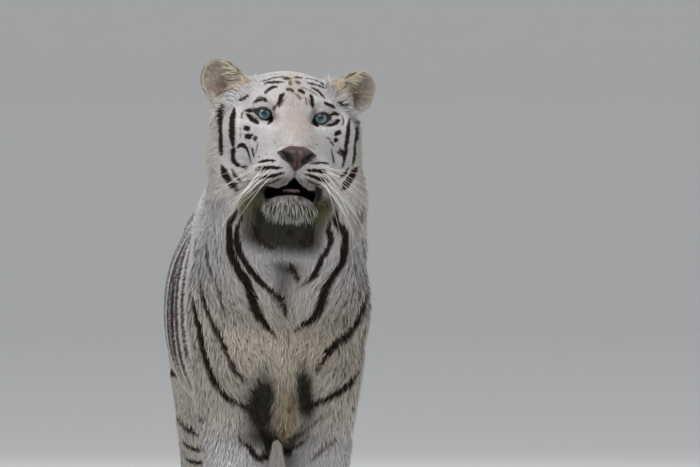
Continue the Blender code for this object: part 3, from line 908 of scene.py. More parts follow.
CHEST_MARKS = (
    # the nested V
    (((-118, -190), (-117, -235), (-110, -275), (-82, -325), (-64, -380), (-28, -433)), 6.5, 1.0),
    (((100, -195), (97, -245), (90, -283), (61, -325), (42, -380), (-1, -415)), 6.5, 1.0),
    (((-104, -200), (-101, -257), (-71, -304), (-46, -333), (-19, -357), (-15, -382)), 4.8, 1.0),
    (((86, -212), (61, -263), (34, -310), (11, -326)), 4.0, 1.0),
    (((-80, -213), (-65, -236), (-42, -254), (-24, -250)), 4.0, 0.9),
    (((11, -240), (32, -252), (44, -224)), 3.6, 0.9),
    (((-12, -222), (-4, -232), (4, -224)), 5.0, 0.9), (((-5, -283), (3, -298), (11, -318)), 3.8, 0.9),
    (((-60, -318), (-40, -345), (-24, -366)), 2.0, 0.5),
)
HINDLEG_MARKS = (
    (((-222, -584), (-205, -606), (-176, -622)), 3.6, 1.0),
    (((-212, -634), (-195, -646), (-172, -650)), 3.8, 1.0),
    (((-206, -668), (-192, -674), (-172, -672)), 3.4, 1.0),
)
BODY_MARKS = (
    # its right shoulder and flank
    (((-161, -230), (-155, -291), (-137, -333), (-132, -357), (-118, -396)), 2.5, 0.7),
    (((-173, -291), (-165, -357), (-151, -396), (-132, -439), (-112, -486), (-91, -512)), 3.8, 0.95),
    (((-190, -349), (-175, -413), (-165, -462), (-147, -513), (-122, -546), (-85, -566), (-48, -605)),
     5.0, 1.0),
    (((-214, -300), (-212, -396), (-198, -456), (-180, -497)), 4.2, 0.9),
    (((-198, -164), (-199, -230), (-204, -330)), 3.0, 0.8),
    (((-216, -210), (-221, -280), (-224, -349)), 3.0, 0.7),
    (((-243, -330), (-235, -415), (-217, -462)), 3.2, 0.8),
    (((-226, -470), (-208, -538), (-180, -569)), 3.6, 0.8),
    # its left shoulder
    (((132, -230), (124, -304), (91, -370)), 2.2, 0.6),
    (((140, -340), (129, -378), (100, -429), (67, -458), (44, -495)), 5.0, 1.0),
    (((120, -500), (95, -527), (54, -546), (9, -571)), 6.0, 1.0),
    (((146, -400), (142, -440), (128, -485)), 2.2, 0.6),
    (((65, -575), (20, -608), (-5, -622)), 3.0, 0.7),
    (((28, -626), (-5, -651), (-46, -661), (-70, -669), (-86, -649), (-108, -626)), 4.6, 1.0),
    (((85, -628), (60, -650), (34, -675)), 2.8, 0.6),
)


def steps_along(line, step):
    """The line's length at each of its points, and places about step apart on it."""
    along = length_along(line)
    return along, np.linspace(0, along[-1], max(3, int(along[-1] / step) + 1))


def curve_through(corners, step):
    """Points about step apart on a smooth open curve, and their share of its length."""
    corners = np.asarray(corners, float)
    if len(corners) > 2:
        padded = np.concatenate([[2 * corners[0] - corners[1]], corners, [2 * corners[-1] - corners[-2]]])
        dense = []
        for i in range(1, len(padded) - 2):
            dense += between(*padded[i - 1:i + 3], 16)
        corners = np.array(dense + [corners[-1]])
    along, at = steps_along(corners, step)
    return read_at(at, along, corners), at / max(along[-1], 1e-9)


LONGEST_LEAP = 0.045  # between neighbouring points of one line; a line that leaps further is parted


class Marks:
    """Points along every stripe on the skin, each with its half width and darkness."""

    def __init__(self):
        self.points, self.widths, self.darks = [], [], []

    def add(self, point, width, dark):
        self.points.append(tuple(point))
        self.widths.append(width)
        self.darks.append(dark)

    def seen_from_front(self, tree, marks, wider, grazing, keep, step, stray):
        """Casts each line onto the skin from the viewpoint; keep says which hits belong to it.

        Where the line runs past the outline it takes the nearest skin, if that is no further than stray.
        """
        for corners, half, dark in marks:
            line, share = curve_through(np.array(corners) / 1000, step)
            runs, last = [], None
            for (u, v), t in zip(line, share):
                aim = EYE_LINE + VIEW_RIGHT * u + np.array((0, 0, v))
                way = Vector(aim - VIEWPOINT).normalized()
                hit, normal, _, _ = tree.ray_cast(Vector(VIEWPOINT), way, 20)
                if hit is None or not keep(np.array(hit)[None])[0]:
                    hit, normal, _, distance = tree.find_nearest(Vector(aim))
                    if distance > stray:
                        continue
                if last is None or (hit - last).length > LONGEST_LEAP:
                    runs.append([])
                runs[-1].append((*hit, abs(normal.dot(way)), t))
                last = hit
            for run in runs:
                if len(run) < 3:
                    continue
                run = np.array(run)
                for _ in range(5):
                    run[1:-1, :4] = (run[:-2, :4] + 2 * run[1:-1, :4] + run[2:, :4]) / 4
                along, at = steps_along(run[:, :3], step)
                for x, y, z, facing, t in read_at(at, along, run):
                    near = tree.find_nearest(Vector((x, y, z)))[0]
                    taper = min(1.0, 0.35 + 3.2 * min(t, 1 - t))
                    self.add(near, half / 1000 * wider * taper * min(grazing, 1 / max(facing, 0.1)), dark)

    def on_skin(self, tree, corners, half, dark, step=0.004):
        line, share = curve_through(corners, step)
        for point, t in zip(line, share):
            hit = tree.find_nearest(Vector(point))[0]
            taper = min(1.0, 0.25 + 4.0 * min(t, 1 - t))
            self.add(hit, half * taper, dark)

    def from_above(self, tree, corners, half, dark, step=0.0025):
        line, share = curve_through(corners, step)
        for (x, y), t in zip(line, share):
            hit = tree.ray_cast(Vector((x, y, 2.0)), Vector((0, 0, -1)))[0]
            if hit is not None:
                self.add(hit, half * min(1.0, 0.25 + 4.0 * min(t, 1 - t)), dark)

    def finish(self):
        self.tree = kdtree.KDTree(len(self.points))
        for i, p in enumerate(self.points):
            self.tree.insert(p, i)
        self.tree.balance()
        self.widths, self.darks = np.array(self.widths), np.array(self.darks)

    def outside(self, points):
        """How far outside the nearest stripe's edge each point lies, and that stripe's darkness."""
        gap, dark = np.empty(len(points)), np.empty(len(points))
        widths, darks, find = self.widths, self.darks, self.tree.find_n
        for i, p in enumerate(points.tolist()):
            best, found = 1.0, 0
            for _, k, d in find(p, 3):
                if d - widths[k] < best:
                    best, found = d - widths[k], k
            gap[i], dark[i] = best, darks[found]
        return gap, dark


# The trunk's stations along Y: lowest, highest, half width
TRUNK = np.array((
    (-0.60, 0.42, 1.02, 0.16), (-0.45, 0.42, 0.99, 0.18), (-0.20, 0.42, 0.95, 0.19),
    (0.10, 0.43, 0.92, 0.20), (0.35, 0.48, 0.95, 0.18), (0.55, 0.58, 0.93, 0.13),
))


def trunk_point(y, turn):
    """A point round the trunk at y: turn is 0 at the back, 1 at the belly, negative to the right."""
    low, high, half = (np.interp(y, TRUNK[:, 0], TRUNK[:, k]) for k in (1, 2, 3))
    a = turn * math.pi
    return (half * math.sin(a), y, (low + high) / 2 + (high - low) / 2 * math.cos(a))


# The middle of the tail, from the rump to its tip
TAIL_LINE = (
    (0.000, 0.530, 0.900), (0.000, 0.596, 0.815), (0.004, 0.671, 0.720), (0.012, 0.711, 0.590),
    (0.024, 0.731, 0.450), (0.036, 0.756, 0.320), (0.046, 0.821, 0.225), (0.052, 0.911, 0.195),
    (0.052, 0.991, 0.220), (0.050, 1.031, 0.275), (0.049, 1.050, 0.310),
)


def flank_stripes(marks, tree, draw, side):
    """From the back down, leaning and forking; shorter towards the rump."""
    for y in np.arange(-0.385, 0.50, 0.068):
        y += draw.uniform(-0.010, 0.010)
        short = ramp(y, 0.09, 0.20)
        reach = mix(draw.uniform(0.52, 0.80), draw.uniform(0.36, 0.43), short)
        lean = draw.uniform(-0.022, 0.016)
        begin = draw.uniform(0.015, 0.06)
        corners = []
        for t in np.linspace(begin, reach, 6):
            sway = draw.uniform(-0.008, 0.008) * (1 - 0.7 * short)
            corners.append(trunk_point(y + lean * ((t - begin) / (reach - begin)) + sway, side * t))
        width = draw.uniform(0.0115, 0.0158)
        marks.on_skin(tree, corners, width, draw.uniform(0.9, 1.0))
        if draw.random() < 0.62 * (1 - short):
            split = draw.integers(1, 4)
            gap = draw.uniform(0.024, 0.030)
            away = gap * ramp(np.arange(6), split - 0.5, split + 1.2)
            twin = [np.array(corner) + (0, off, 0) for corner, off in zip(corners, away)]
            marks.on_skin(tree, twin[split:], width * 0.75, draw.uniform(0.8, 1.0))
        elif draw.random() < 0.6:
            start = draw.uniform(0.25, 0.5) * (1 - 0.5 * short)
            infill = [trunk_point(y + 0.033 + lean * 0.15 * i, side * (start + 0.05 * i)) for i in range(4)]
            marks.on_skin(tree, infill, width * 0.6, 0.85)


def nape_stripes(marks, tree, draw):
    """Across the nape and between the shoulders."""
    for y, far in ((-0.740, 0.100), (-0.675, 0.140), (-0.615, 0.150), (-0.555, 0.120), (-0.480, 0.075)):
        for side in (-1, 1):
            reach = np.linspace(draw.uniform(0.005, 0.018), far, 4)
            corners = [(side * x, y + 0.16 * x + draw.uniform(-0.004, 0.004)) for x in reach]
            marks.from_above(tree, corners, draw.uniform(0.0070, 0.0095), 0.95)


def haunch_stripes(marks, tree, draw, side):
    for z in np.arange(0.75, 0.50, -0.058):
        z += draw.uniform(-0.008, 0.008)
        wave = [z + 0.028 * math.sin(i * 0.9) - 0.012 * i for i in range(7)]
        corners = [(side * 0.20, 0.29 + 0.047 * i, height) for i, height in enumerate(wave)]
        marks.on_skin(tree, corners, draw.uniform(0.0070, 0.0100), draw.uniform(0.9, 1.0))


# Height and place along Y of a hind leg's middle, from the foot up, and how far each leg is moved by its step
HINDLEG = np.array(((0.14, 0.49), (0.225, 0.505), (0.285, 0.47), (0.38, 0.38), (0.44, 0.36)))
HIND_STEP, FORE_STEP = {-1: 0.060, 1: -0.060}, {-1: -0.169, 1: -0.099}
LEG_ASIDE = 0.085


def hindleg_bars(marks, tree, draw, side):
    for z in np.arange(0.425, 0.12, -0.049):
        y = np.interp(z, HINDLEG[:, 0], HINDLEG[:, 1]) + HIND_STEP[side] * 0.97
        height = z + draw.uniform(-0.006, 0.006)
        for outer, begin, pace in ((1, -0.050, 0.025), (-1, -0.025, 0.018)):
            x = side * (LEG_ASIDE + outer * 0.06)
            corners = [(x, y + begin + pace * i, height + 0.010 * outer * (i - 2) * 0.5) for i in range(5)]
            marks.on_skin(tree, corners, draw.uniform(0.0048, 0.0070), draw.uniform(0.85, 1.0))


def foreleg_bars(marks, tree, draw, side):
    """Bars behind and inside a foreleg, and on its outside above the wrist."""
    for z in np.arange(0.47, 0.12, -0.058):
        y = -0.425 + FORE_STEP[side] + draw.uniform(-0.005, 0.005)
        inside = ((LEG_ASIDE - 0.05, -0.03, 0), (0.03, 0.02, 0.01), (0.07, 0.08, 0.012))
        corners = [(side * a, y + b, z + c) for a, b, c in inside]
        marks.on_skin(tree, corners, draw.uniform(0.0045, 0.0065), draw.uniform(0.8, 1.0))
        if z > 0.25:
            outside = ((0.16, 0.05, 0.02), (0.16, 0.02, 0.005), (0.155, -0.01, 0))
            marks.on_skin(tree, [(side * a, y + b, z + c) for a, b, c in outside], 0.0048, 0.85)


def tail_rings(marks, tree):
    """Rings round the tail, closing into its dark tip."""
    line, _ = curve_through(TAIL_LINE, 0.004)
    ahead = unit(np.gradient(line, axis=0))
    aside = unit(np.cross(ahead, (1, 0, 0)))
    third = np.cross(ahead, aside)

    def around(i, a, away):
        return line[i] + away * (aside[i] * math.cos(a) + third[i] * math.sin(a))

    for t in np.arange(0.17, 0.92, 0.070):
        i = int(t * (len(line) - 1))
        for a in np.linspace(0, 2 * math.pi, 40):
            point = around(i, a, 0.06) + ahead[i] * 0.008 * math.sin(a + t * 9)
            hit = tree.find_nearest(Vector(point))[0]
            marks.add(hit, 0.0115 * (0.75 + 0.25 * math.cos(a)) * (0.8 + 0.5 * t), 0.95)
    for i in range(int(0.95 * len(line)), len(line)):
        for a in np.linspace(0, 2 * math.pi, 12):
            marks.add(tree.find_nearest(Vector(around(i, a, 0.03)))[0], 0.012, 1.0)


def body_stripes(marks, tree):
    draw = np.random.default_rng(11)
    for side in (-1, 1):
        flank_stripes(marks, tree, draw, side)
    nape_stripes(marks, tree, draw)
    for side in (-1, 1):
        haunch_stripes(marks, tree, draw, side)
        hindleg_bars(marks, tree, draw, side)
        foreleg_bars(marks, tree, draw, side)
    tail_rings(marks, tree)
    for y in np.arange(-0.28, 0.30, 0.11):  # under the belly
        for side in (-1, 1):
            corners = [trunk_point(y + 0.02 * k, side * (0.86 + 0.035 * k)) for k in range(4)]
            marks.on_skin(tree, corners, 0.0055, 0.6)


marks = Marks()
# Each table: how much wider, at most how much wider where the skin turns away, the step along a line, how
# far past the outline it may stray, and which hits belong to it
for table, wider, grazing, step, stray, keep in (
    (HEAD_MARKS, 1.30, 1.25, 0.0016, 0.12, lambda p: head_side(p) > -0.12),
    (CHEST_MARKS, 1.20, 1.5, 0.003, 0.12, lambda p: head_side(p) < 0.03),
    (BODY_MARKS, 1.25, 1.6, 0.003, 0.0, lambda p: (head_side(p) < 0.03) & (p[:, 1] < -0.40)),
    (HINDLEG_MARKS, 1.25, 1.6, 0.003, 0.0, lambda p: (p[:, 1] > 0.0) & (p[:, 1] < 0.42)),
):
    marks.seen_from_front(SKIN_TREE, table, wider, grazing, keep, step, stray)
body_stripes(marks, SKIN_TREE)
marks.finish()


# ---------------------------------------------------------------- the coat's ground colours
# SHADE and the olive tone are painted shade: near black in hollows and under the jaw, olive beside the chin
WHITE, LILAC, CREAM, TAN, PINK, OLIVE_SHADE, GREY, SHADE, LIP, GOLD, DARK, BROWN = (
    np.array(colour) for colour in (
        (0.60, 0.585, 0.58), (0.46, 0.435, 0.44), (0.49, 0.43, 0.32), (0.38, 0.30, 0.21),
        (0.42, 0.355, 0.325), (0.12, 0.11, 0.055), (0.17, 0.15, 0.14), (0.014, 0.0135, 0.008),
        (0.085, 0.070, 0.066), (0.33, 0.27, 0.18), (0.020, 0.012, 0.009), (0.095, 0.050, 0.030),
    )
)


def soft_noise(points, size, seed):
    """Smooth noise about 0, from a few waves in random directions."""
    draw = np.random.default_rng(seed)
    total = np.zeros(len(points))
    for _ in range(7):
        way = unit(draw.normal(size=3)) * draw.uniform(0.6, 1.6) * 2 * math.pi / size
        total += np.sin(points @ way + draw.uniform(0, 6.28))
    return total / 3.5


def hill(a, b, middle, radii, much=1.0, most=1.0, turn=0.0):
    """A soft hill made steeper and cut off level."""
    return np.clip(bump(a, b, middle, radii, turn) * much, 0, most)


# On the breast, in millimetres from the front: middle, radii and, in its shadows, how dark
PALE_BREAST = (
    ((-102, -478), (45, 50)), ((62, -462), (45, 50)), ((-60, -430), (34, 50)), ((30, -440), (34, 50)),
)
SHADOWS = (
    ((-57, -558), (28, 50), 2.2), ((18, -536), (19, 42), 2.2), ((-10, -262), (30, 40), 1.5),
    ((-18, -330), (18, 50), 0.6), ((-40, -622), (64, 20), 1.1), ((-28, -642), (24, 24), 1.6),
    ((-5, -222), (52, 32), 2.2),
)
# Pale places round the eyes and on the cheeks, out and up in the head's axes
PALE_FACE = (
    ((0.066, 0.020), (0.016, 0.012)), ((0.062, -0.024), (0.022, 0.010)),
    ((0.094, -0.075), (0.012, 0.022)), ((0.104, -0.010), (0.008, 0.050)),
)


def body_colour(points):
    x, y, z = points.T
    u, v = front_plane(points)
    middle = np.abs(x)
    fore = ramp(y, -0.52, -0.60) * ramp(head_side(points), 0.0, -0.03)
    ridge = mix(mix(CREAM, WHITE, 0.3), GOLD[None], ramp(v, -470, -570)[:, None])
    return layered(np.tile(mix(WHITE, LILAC, 0.40), (len(points), 1)), (
        (CREAM, 0.50, (y, -0.50, -0.62), (z, 0.80, 0.66), (z, 0.42, 0.50)),
        (CREAM, 0.45, (z, 0.78, 0.50), (y, -0.5, -0.4), (y, 0.5, 0.4)),
        (WHITE, 0.35, (z, 0.45, 0.35)),
        (CREAM, 0.30, (z, 0.14, 0.04)),
        (CREAM * 1.05, 0.7, (middle, 0.030, 0.010), (y, -0.58, -0.66), (z, 0.72, 0.62)),
        *((CREAM, 0.42, bump(u, v, *place), fore) for place in PALE_BREAST),
        *((SHADE, 1, hill(u, v, *place, most=0.95), fore) for place in SHADOWS),
        # painted shade, olive, beside the chin under the jaw
        *((OLIVE_SHADE, 0.85, hill(u, v, place, (24, 24), 1.4), fore) for place in ((-67, -178), (64, -180))),
        # painted shade on the keel between the forelegs, then the breast's pale ridge
        (SHADE, 0.85, (middle, 0.042, 0.030), (z, 0.49, 0.46), (z, 0.39, 0.41),
         (y, -0.38, -0.44), (y, -0.66, -0.60)),
        (ridge, 1, hill(u, v, (-14, -530), (9, 110), 1.8, turn=1), fore),
    ))


def face_colour(points):
    out, ahead, up = to_head(points).T
    side = np.abs(out)
    dots = ramp(soft_noise(points, 0.0045, 43), 0.25, -0.25)
    bridge = np.clip(bump(out, up, (0.002, -0.020), (0.034, 0.055)) * ramp(ahead, -0.03, 0.02) * 1.1, 0, 1)
    lips = np.clip(ramp(ahead, 0.05, 0.08) * bump(side, up, (0.022, -0.1320), (0.026, 0.0110)) * 1.5, 0, 1)
    chin = hill(side, up, (0.0, -0.1610), (0.044, 0.0095), 1.7) * ramp(ahead, 0.04, 0.06)
    return layered(np.tile(mix(WHITE, LILAC, 0.60), (len(points), 1)), (
        # temples, crown, bridge, whisker pads
        (CREAM, 0.42, (side, 0.112, 0.145), (ahead, 0.0, -0.06)),
        (mix(TAN, CREAM, 0.4), 0.75, (side, 0.070, 0.105), (up, 0.030, 0.050), (ahead, -0.03, -0.07)),
        (TAN, 0.55, bump(out, up, (0.0, 0.062), (0.016, 0.040)), (ahead, -0.16, -0.10)),
        (PINK, 0.85, bridge),
        (WHITE * 1.05, 0.9, bump(side, up, (0.040, -0.106), (0.030, 0.024)), (ahead, 0.04, 0.07)),
        *((WHITE * 1.08, 0.85, bump(side, up, *place), (ahead, -0.08, -0.04)) for place in PALE_FACE),
        # lips, chin, then painted shade at the corners of the mouth and under the jaw, near black and olive
        (LIP, 0.9, lips, mix(0.55, 1.0, dots)),
        (LIP, 0.9, chin, mix(0.45, 1.0, dots)),
        (GREY * 1.3, 0.45, (side, 0.060, 0.045), (up, -0.160, -0.166), (ahead, 0.04, 0.07)),
        (SHADE, 0.9, bump(side, up, (0.058, -0.152), (0.016, 0.022)), (ahead, 0.0, 0.03)),
        (SHADE, 0.80, (side, 0.034, 0.050), (side, 0.090, 0.066), (up, -0.150, -0.168)),
        (OLIVE_SHADE, 0.9, hill(side, up, (0.067, -0.176), (0.023, 0.026), 1.5), (ahead, -0.06, -0.02)),
        (SHADE, 0.95, (up, -0.172, -0.186), (side, 0.070, 0.045)),
        # upper lids
        (mix(LILAC, GREY, 0.5), 0.6, bump(side, up, (0.058, 0.015), (0.020, 0.0075)), (ahead, -0.06, -0.03)),
    ))


def ear_colour(points, side):
    own = in_ear(points, side)
    across, _, up = own.T
    share = ear_share(own)
    fleshy = mix(PINK, TAN, 0.30) * (0.82 + 0.12 * soft_noise(points, 0.02, 41))[:, None]
    fleshy = layered(fleshy, (
        # painted shade in the cup's hollow
        (BROWN, 0.9, bump(across, up, (0.004, -0.012), (0.020, 0.013), -20)),
        (CREAM, 1, np.maximum(ear_fringe(own) * 0.75, ramp(share, 0.84, 0.95) * 0.7)),
    ))
    back = mix(TAN * 1.15, DARK * 1.6, ramp(share, 0.97, 0.80)[:, None])
    back = mix(back, WHITE, hill(across, up, (0.004, -0.004), (0.013, 0.012), 1.6)[:, None])
    return mix(back, fleshy, ear_inside(own)[:, None])


def ground_colour(points):
    """The coat's colour between the stripes."""
    up = to_head(points)[:, 2]
    colour = mix(body_colour(points), face_colour(points), ramp(head_side(points), -0.02, 0.03)[:, None])
    for side, middle in EAR_MIDDLES.items():
        away = np.linalg.norm(points - middle, axis=1)
        near = ramp(away, 0.075, 0.050) * ramp(away - 0.9 * (up - 0.06), 0.075, 0.045)
        colour = mix(colour, ear_colour(points, side), near[:, None] * 0.9)
    return colour


# ---------------------------------------------------------------- bare places
def mouth_share(points):
    """1 in the mouth and on its black lips, 0 on the hair."""
    out, ahead, up = to_head(points).T
    share = np.zeros(len(points))
    near = (np.abs(out) < 0.09) & (up > -0.19) & (up < -0.10) & (ahead > 0.0)
    flat = np.stack([out, up], axis=1)[near]
    gap = outline_distance(flat, loop_points(MOUTH, 96))
    share[near] = ramp(gap, 0.0028, 0.0010)
    return share


def eye_share(points):
    """1 inside the rims of the eyes."""
    share = np.zeros(len(points))
    outline = loop_points(EYE_OPENING, 60)
    head = to_head(points)
    for side in EARS:
        a, b, c = eye_axes(head, side)
        near = (np.hypot(a, b) < 0.030) & (c > -0.01)
        gap = outline_distance(np.stack([a, b], axis=1)[near], outline) / rim_breadth(b[near])
        share[near] = np.maximum(share[near], ramp(gap, 0.0034, 0.0020))
    return share


def nose_share(points):
    """1 under the nose's leather."""
    out, ahead, up = to_head(points).T
    table = np.array(NOSE_ROWS)
    t = (up - NOSE_TOP) / (NOSE_FOOT - NOSE_TOP)
    half = np.interp(t, table[:, 0], table[:, 1], left=0, right=0)
    return ramp(np.abs(out) - half, 0.0005, -0.0015) * (ahead > 0.09) * (t > 0.02) * (t < 1.04)


# ---------------------------------------------------------------- the lie and length of the coat
NOSE_BRIDGE = (0, 0.135, -0.075)  # the hair of the face lies away from it


def comb_head(points):
    """The way the head's hair lies: away from the nose, then back and down into the ruff."""
    head = to_head(points)
    out, ahead, up = head.T
    one = np.ones(len(points))
    fore = unit(head - np.array(NOSE_BRIDGE))
    ruff = unit(np.stack([0.42 * np.tanh(out / 0.05), -0.75 * one, -0.75 * ramp(up, 0.06, -0.04)], axis=1))
    lie = mix(fore, ruff, (ramp(ahead, -0.02, -0.08) * ramp(np.abs(out), 0.05, 0.10))[:, None])
    chin = unit(np.stack([0.30 * np.tanh(out / 0.03), 0.10 * one, -one], axis=1))
    lie = mix(lie, chin, (ramp(up, -0.155, -0.168))[:, None])
    for side in EARS:
        a, b, c = eye_axes(head, side)
        reach = np.hypot(a / 1.25, b)
        round_eye = ramp(reach, 0.030, 0.014) * (c > -0.03)
        outward = unit(np.stack([a * side, np.full(len(points), -0.002), b], axis=1) + 1e-9)
        lie = mix(lie, mix(outward, fore, 0.30), round_eye[:, None])
    return unit(lie) @ AXES.T


def comb(points, normals):
    """The way the hair lies, along the skin."""
    x, y, z = points.T
    one = np.ones(len(points))

    def way(a, b, c):
        return unit(np.stack([a * one, b * one, c * one], axis=1))

    lie = way(0, 1.0, -0.45)
    lie = mix(lie, way(0, 1.0, -0.12), ramp(z, 0.80, 0.92)[:, None])
    chest = ramp(y, -0.50, -0.62) * ramp(z, 0.95, 0.80)
    lie = mix(lie, way(-0.55 * np.tanh(x / 0.06), 0.0, -1.0), chest[:, None])
    lie = mix(lie, way(0, 0.25, -1.0), ramp(z, 0.62, 0.46)[:, None])
    lie = mix(lie, way(0, -0.55, -0.85), ramp(z, 0.075, 0.045)[:, None])
    tail, _ = curve_through(TAIL_LINE, 0.01)
    tail_way = unit(np.gradient(tail, axis=0))
    on_tail = y > 0.60
    if on_tail.any():
        nearest = np.argmin(((points[on_tail][:, None] - tail[None]) ** 2).sum(axis=2), axis=1)
        lie[on_tail] = mix(lie[on_tail], tail_way[nearest], ramp(y[on_tail], 0.60, 0.66)[:, None])
    lie = mix(lie, comb_head(points), ramp(head_side(points), -0.06, 0.02)[:, None])
    for side, middle in EAR_MIDDLES.items():
        own = in_ear(points, side)
        outward = unit(own * np.array((1, 0.0, 1)) + np.array((0.01, 0, 0.035)))
        outward[:, 0] *= side
        _, turned = ear_place(side)
        outward = (outward @ turned.T) @ AXES.T
        near = ramp(np.linalg.norm(points - middle, axis=1), 0.060, 0.045)
        lie = mix(lie, outward, near[:, None])
        across = unit(np.array((0.85, 0.20, 0.45))) * (side, 1, 1) @ turned.T @ AXES.T
        lie = mix(lie, across[None], (near * ear_fringe(own))[:, None])
    for axis, seed in enumerate((21, 22, 23)):
        lie[:, axis] += 0.16 * soft_noise(points, 0.07, seed)
    lie = lie - normals * np.sum(lie * normals, axis=1)[:, None]
    return unit(lie)


def on_ear(points):
    away = [np.linalg.norm(points - middle, axis=1) for middle in EAR_MIDDLES.values()]
    return ramp(np.minimum(*away), 0.062, 0.048)


def on_fringe(points):
    near = np.zeros(len(points))
    for side, middle in EAR_MIDDLES.items():
        close = np.linalg.norm(points - middle, axis=1) < 0.055
        near[close] = np.maximum(near[close], ear_fringe(in_ear(points[close], side)))
    return near


def fluffy(points):
    """1 where the ruff's edge and the hair round the ears' feet stand off the head."""
    out, ahead, up = to_head(points).T
    edge = within((np.abs(out), 0.140, 0.154), (up, 0.040, 0.010), (head_side(points), -0.02, 0.02))
    for middle in EAR_MIDDLES.values():
        away = np.linalg.norm(points - middle, axis=1)
        foot = within((away, 0.094, 0.070), (away, 0.046, 0.056), (up, 0.082, 0.060), (ahead, -0.17, -0.12))
        edge = np.maximum(edge, foot)
    return edge


def beard(points):
    """1 on the chin's front edge, where the hair hangs long and sparse."""
    out, ahead, up = to_head(points).T
    height = within((up, -0.163, -0.170), (up, -0.200, -0.185))
    return within((np.abs(out), 0.052, 0.040), (ahead, 0.045, 0.070)) * height


def breast(points):
    """1 on the breast, whose coat is shaggy."""
    u, v = front_plane(points)
    fore = ramp(points[:, 1], -0.50, -0.58) * ramp(head_side(points), 0.0, -0.04)
    return np.clip(0.25 + 1.3 * bump(u, v, (-20, -490), (130, 150)), 0, 1) * fore


# How long the tufts are for how deep the coat lies
DEPTHS = (0.0025, 0.0040, 0.0065, 0.0100, 0.0150, 0.0170)
LENGTHS = (0.0058, 0.0092, 0.0165, 0.0215, 0.0265, 0.0280)


def tuft_length(points):
    depth = coat_depth(points)
    return layered(np.interp(depth, DEPTHS, LENGTHS), (
        (0.0110, 1, (points[:, 2], 0.14, 0.08)),
        (0.0215, 1, (head_side(points), -0.02, 0.02), (depth, 0.0080, 0.0100)),
        (0.0265, 0.8, fluffy(points)),
        (0.028, 1, beard(points)),
        (0.0110, 1, on_ear(points)),
        (0.0240, 1, on_fringe(points)),
    ))


def tuft_lift(points):
    """How far a tuft's tip stands off the skin."""
    return layered(coat_depth(points), (
        (0.0145, 1, fluffy(points)), (0.009, 1, beard(points)),
        (0.0045, 1, on_ear(points)), (0.0100, 1, on_fringe(points)),
    ))


def tuft_width(points, length):
    fine = np.maximum(ramp(head_side(points), -0.10, 0.0), breast(points))
    return (0.00045 + 0.062 * length) * mix(1.25, 1.0, fine)


# ---------------------------------------------------------------- colours of skin and tufts
def striped(ground, points, gap, dark):
    """The ground colour with the stripes over it."""
    ragged = gap + 0.0012 * soft_noise(points, 0.006, 31)
    edge = np.where(head_side(points) > 0, 0.0010, 0.0015)
    share = ramp(ragged / edge, 1.0, -1.0) * np.sqrt(dark)
    stripe = mix(BROWN, DARK, (ramp(-gap, -0.0015, 0.0015) * ramp(dark, 0.5, 0.95))[:, None])
    return mix(ground, stripe, share[:, None])


def unwrap(obj):
    """The skin's own map, named OFBake."""
    obj.data.uv_layers.new(name="OFBake")
    bpy.ops.object.select_all(action="DESELECT")
    obj.select_set(True)
    bpy.context.view_layer.objects.active = obj
    bpy.ops.object.mode_set(mode="EDIT")
    bpy.ops.mesh.select_all(action="SELECT")
    bpy.ops.uv.smart_project(angle_limit=1.15, island_margin=0.002, scale_to_bounds=True)
    bpy.ops.object.mode_set(mode="OBJECT")


skin_points = vertices_of(skin)
skin_gap, skin_dark = marks.outside(skin_points)
attribute(skin, "ground", ground_colour(skin_points), "FLOAT_COLOR")
attribute(skin, "stripe_gap", skin_gap * 1000)
attribute(skin, "stripe_dark", skin_dark)
attribute(skin, "mouth", np.maximum(mouth_share(skin_points), eye_share(skin_points)))
unwrap(skin)


# ---------------------------------------------------------------- the coat
class Roots:
    """Where tufts can grow: the skin's triangles with their corners, normals and places on the unwrap."""

    def __init__(self, obj):
        mesh = obj.data
        mesh.calc_loop_triangles()
        count = len(mesh.loop_triangles)
        corner, loop = np.empty(count * 3, np.int32), np.empty(count * 3, np.int32)
        mesh.loop_triangles.foreach_get("vertices", corner)
        mesh.loop_triangles.foreach_get("loops", loop)
        uv = np.empty(len(mesh.loops) * 2, np.float32)
        mesh.uv_layers["OFBake"].data.foreach_get("uv", uv)
        self.points, self.normals = vertices_of(obj), normals_of(obj)
        self.corner, self.loop, self.uv = corner.reshape(-1, 3), loop.reshape(-1, 3), uv.reshape(-1, 2)
        a, b, c = (self.points[self.corner[:, k]] for k in range(3))
        self.area = np.linalg.norm(np.cross(b - a, c - a), axis=1) / 2
        self.middle = (a + b + c) / 3

    def draw(self, per_area, draw):
        """About per_area roots for each triangle's square metre, spread evenly."""
        wanted = np.cumsum(self.area * per_area)
        at = np.arange(int(wanted[-1])) + draw.random(int(wanted[-1])) * 0.9
        which = np.minimum(np.searchsorted(wanted, at), len(wanted) - 1)
        u, v = draw.random(len(at)), draw.random(len(at))
        flip = u + v > 1
        u, v = np.where(flip, 1 - u, u), np.where(flip, 1 - v, v)
        weights = np.stack([1 - u - v, u, v], axis=1)

        def blended(values, index):
            return np.einsum("nk,nkd->nd", weights, values[index[which]])

        return (blended(self.points, self.corner), unit(blended(self.normals, self.corner)),
                blended(self.uv, self.loop))


MOST_TUFTS = 66000  # three triangles each, under 200,000 in a piece
LEAF = (3, 2, 1, 0, 4, 2, 3)  # a quad, then the tip
LEAF_PATCH, PATCH = ((-0.5, -0.5), (0.5, -0.5), (0.42, 0.1), (-0.42, 0.1), (0.0, 0.5)), 0.003
SHORT_SHADE, SHAGGY_SHADE = (0.86, 0.86, 1.0, 1.0, 1.05), (0.60, 0.60, 0.92, 0.92, 1.06)  # at the corners; darker at the root as painted shade within the coat
BEARD_COLOURS = ((0.10, 0.09, 0.075), (0.33, 0.32, 0.28), (0.50, 0.49, 0.45))  # root, middle, tip
ROOT_SUNK, LOWEST_HAIR = 0.0006, 0.0008


def on_the_skin(points, furthest=0.012):
    """Each point moved to the nearest place on the skin, unless that is far off."""
    moved = points.copy()
    for i, p in enumerate(points.tolist()):
        near, _, _, distance = SKIN_TREE.find_nearest(p)
        if distance < furthest:
            moved[i] = near
    return moved


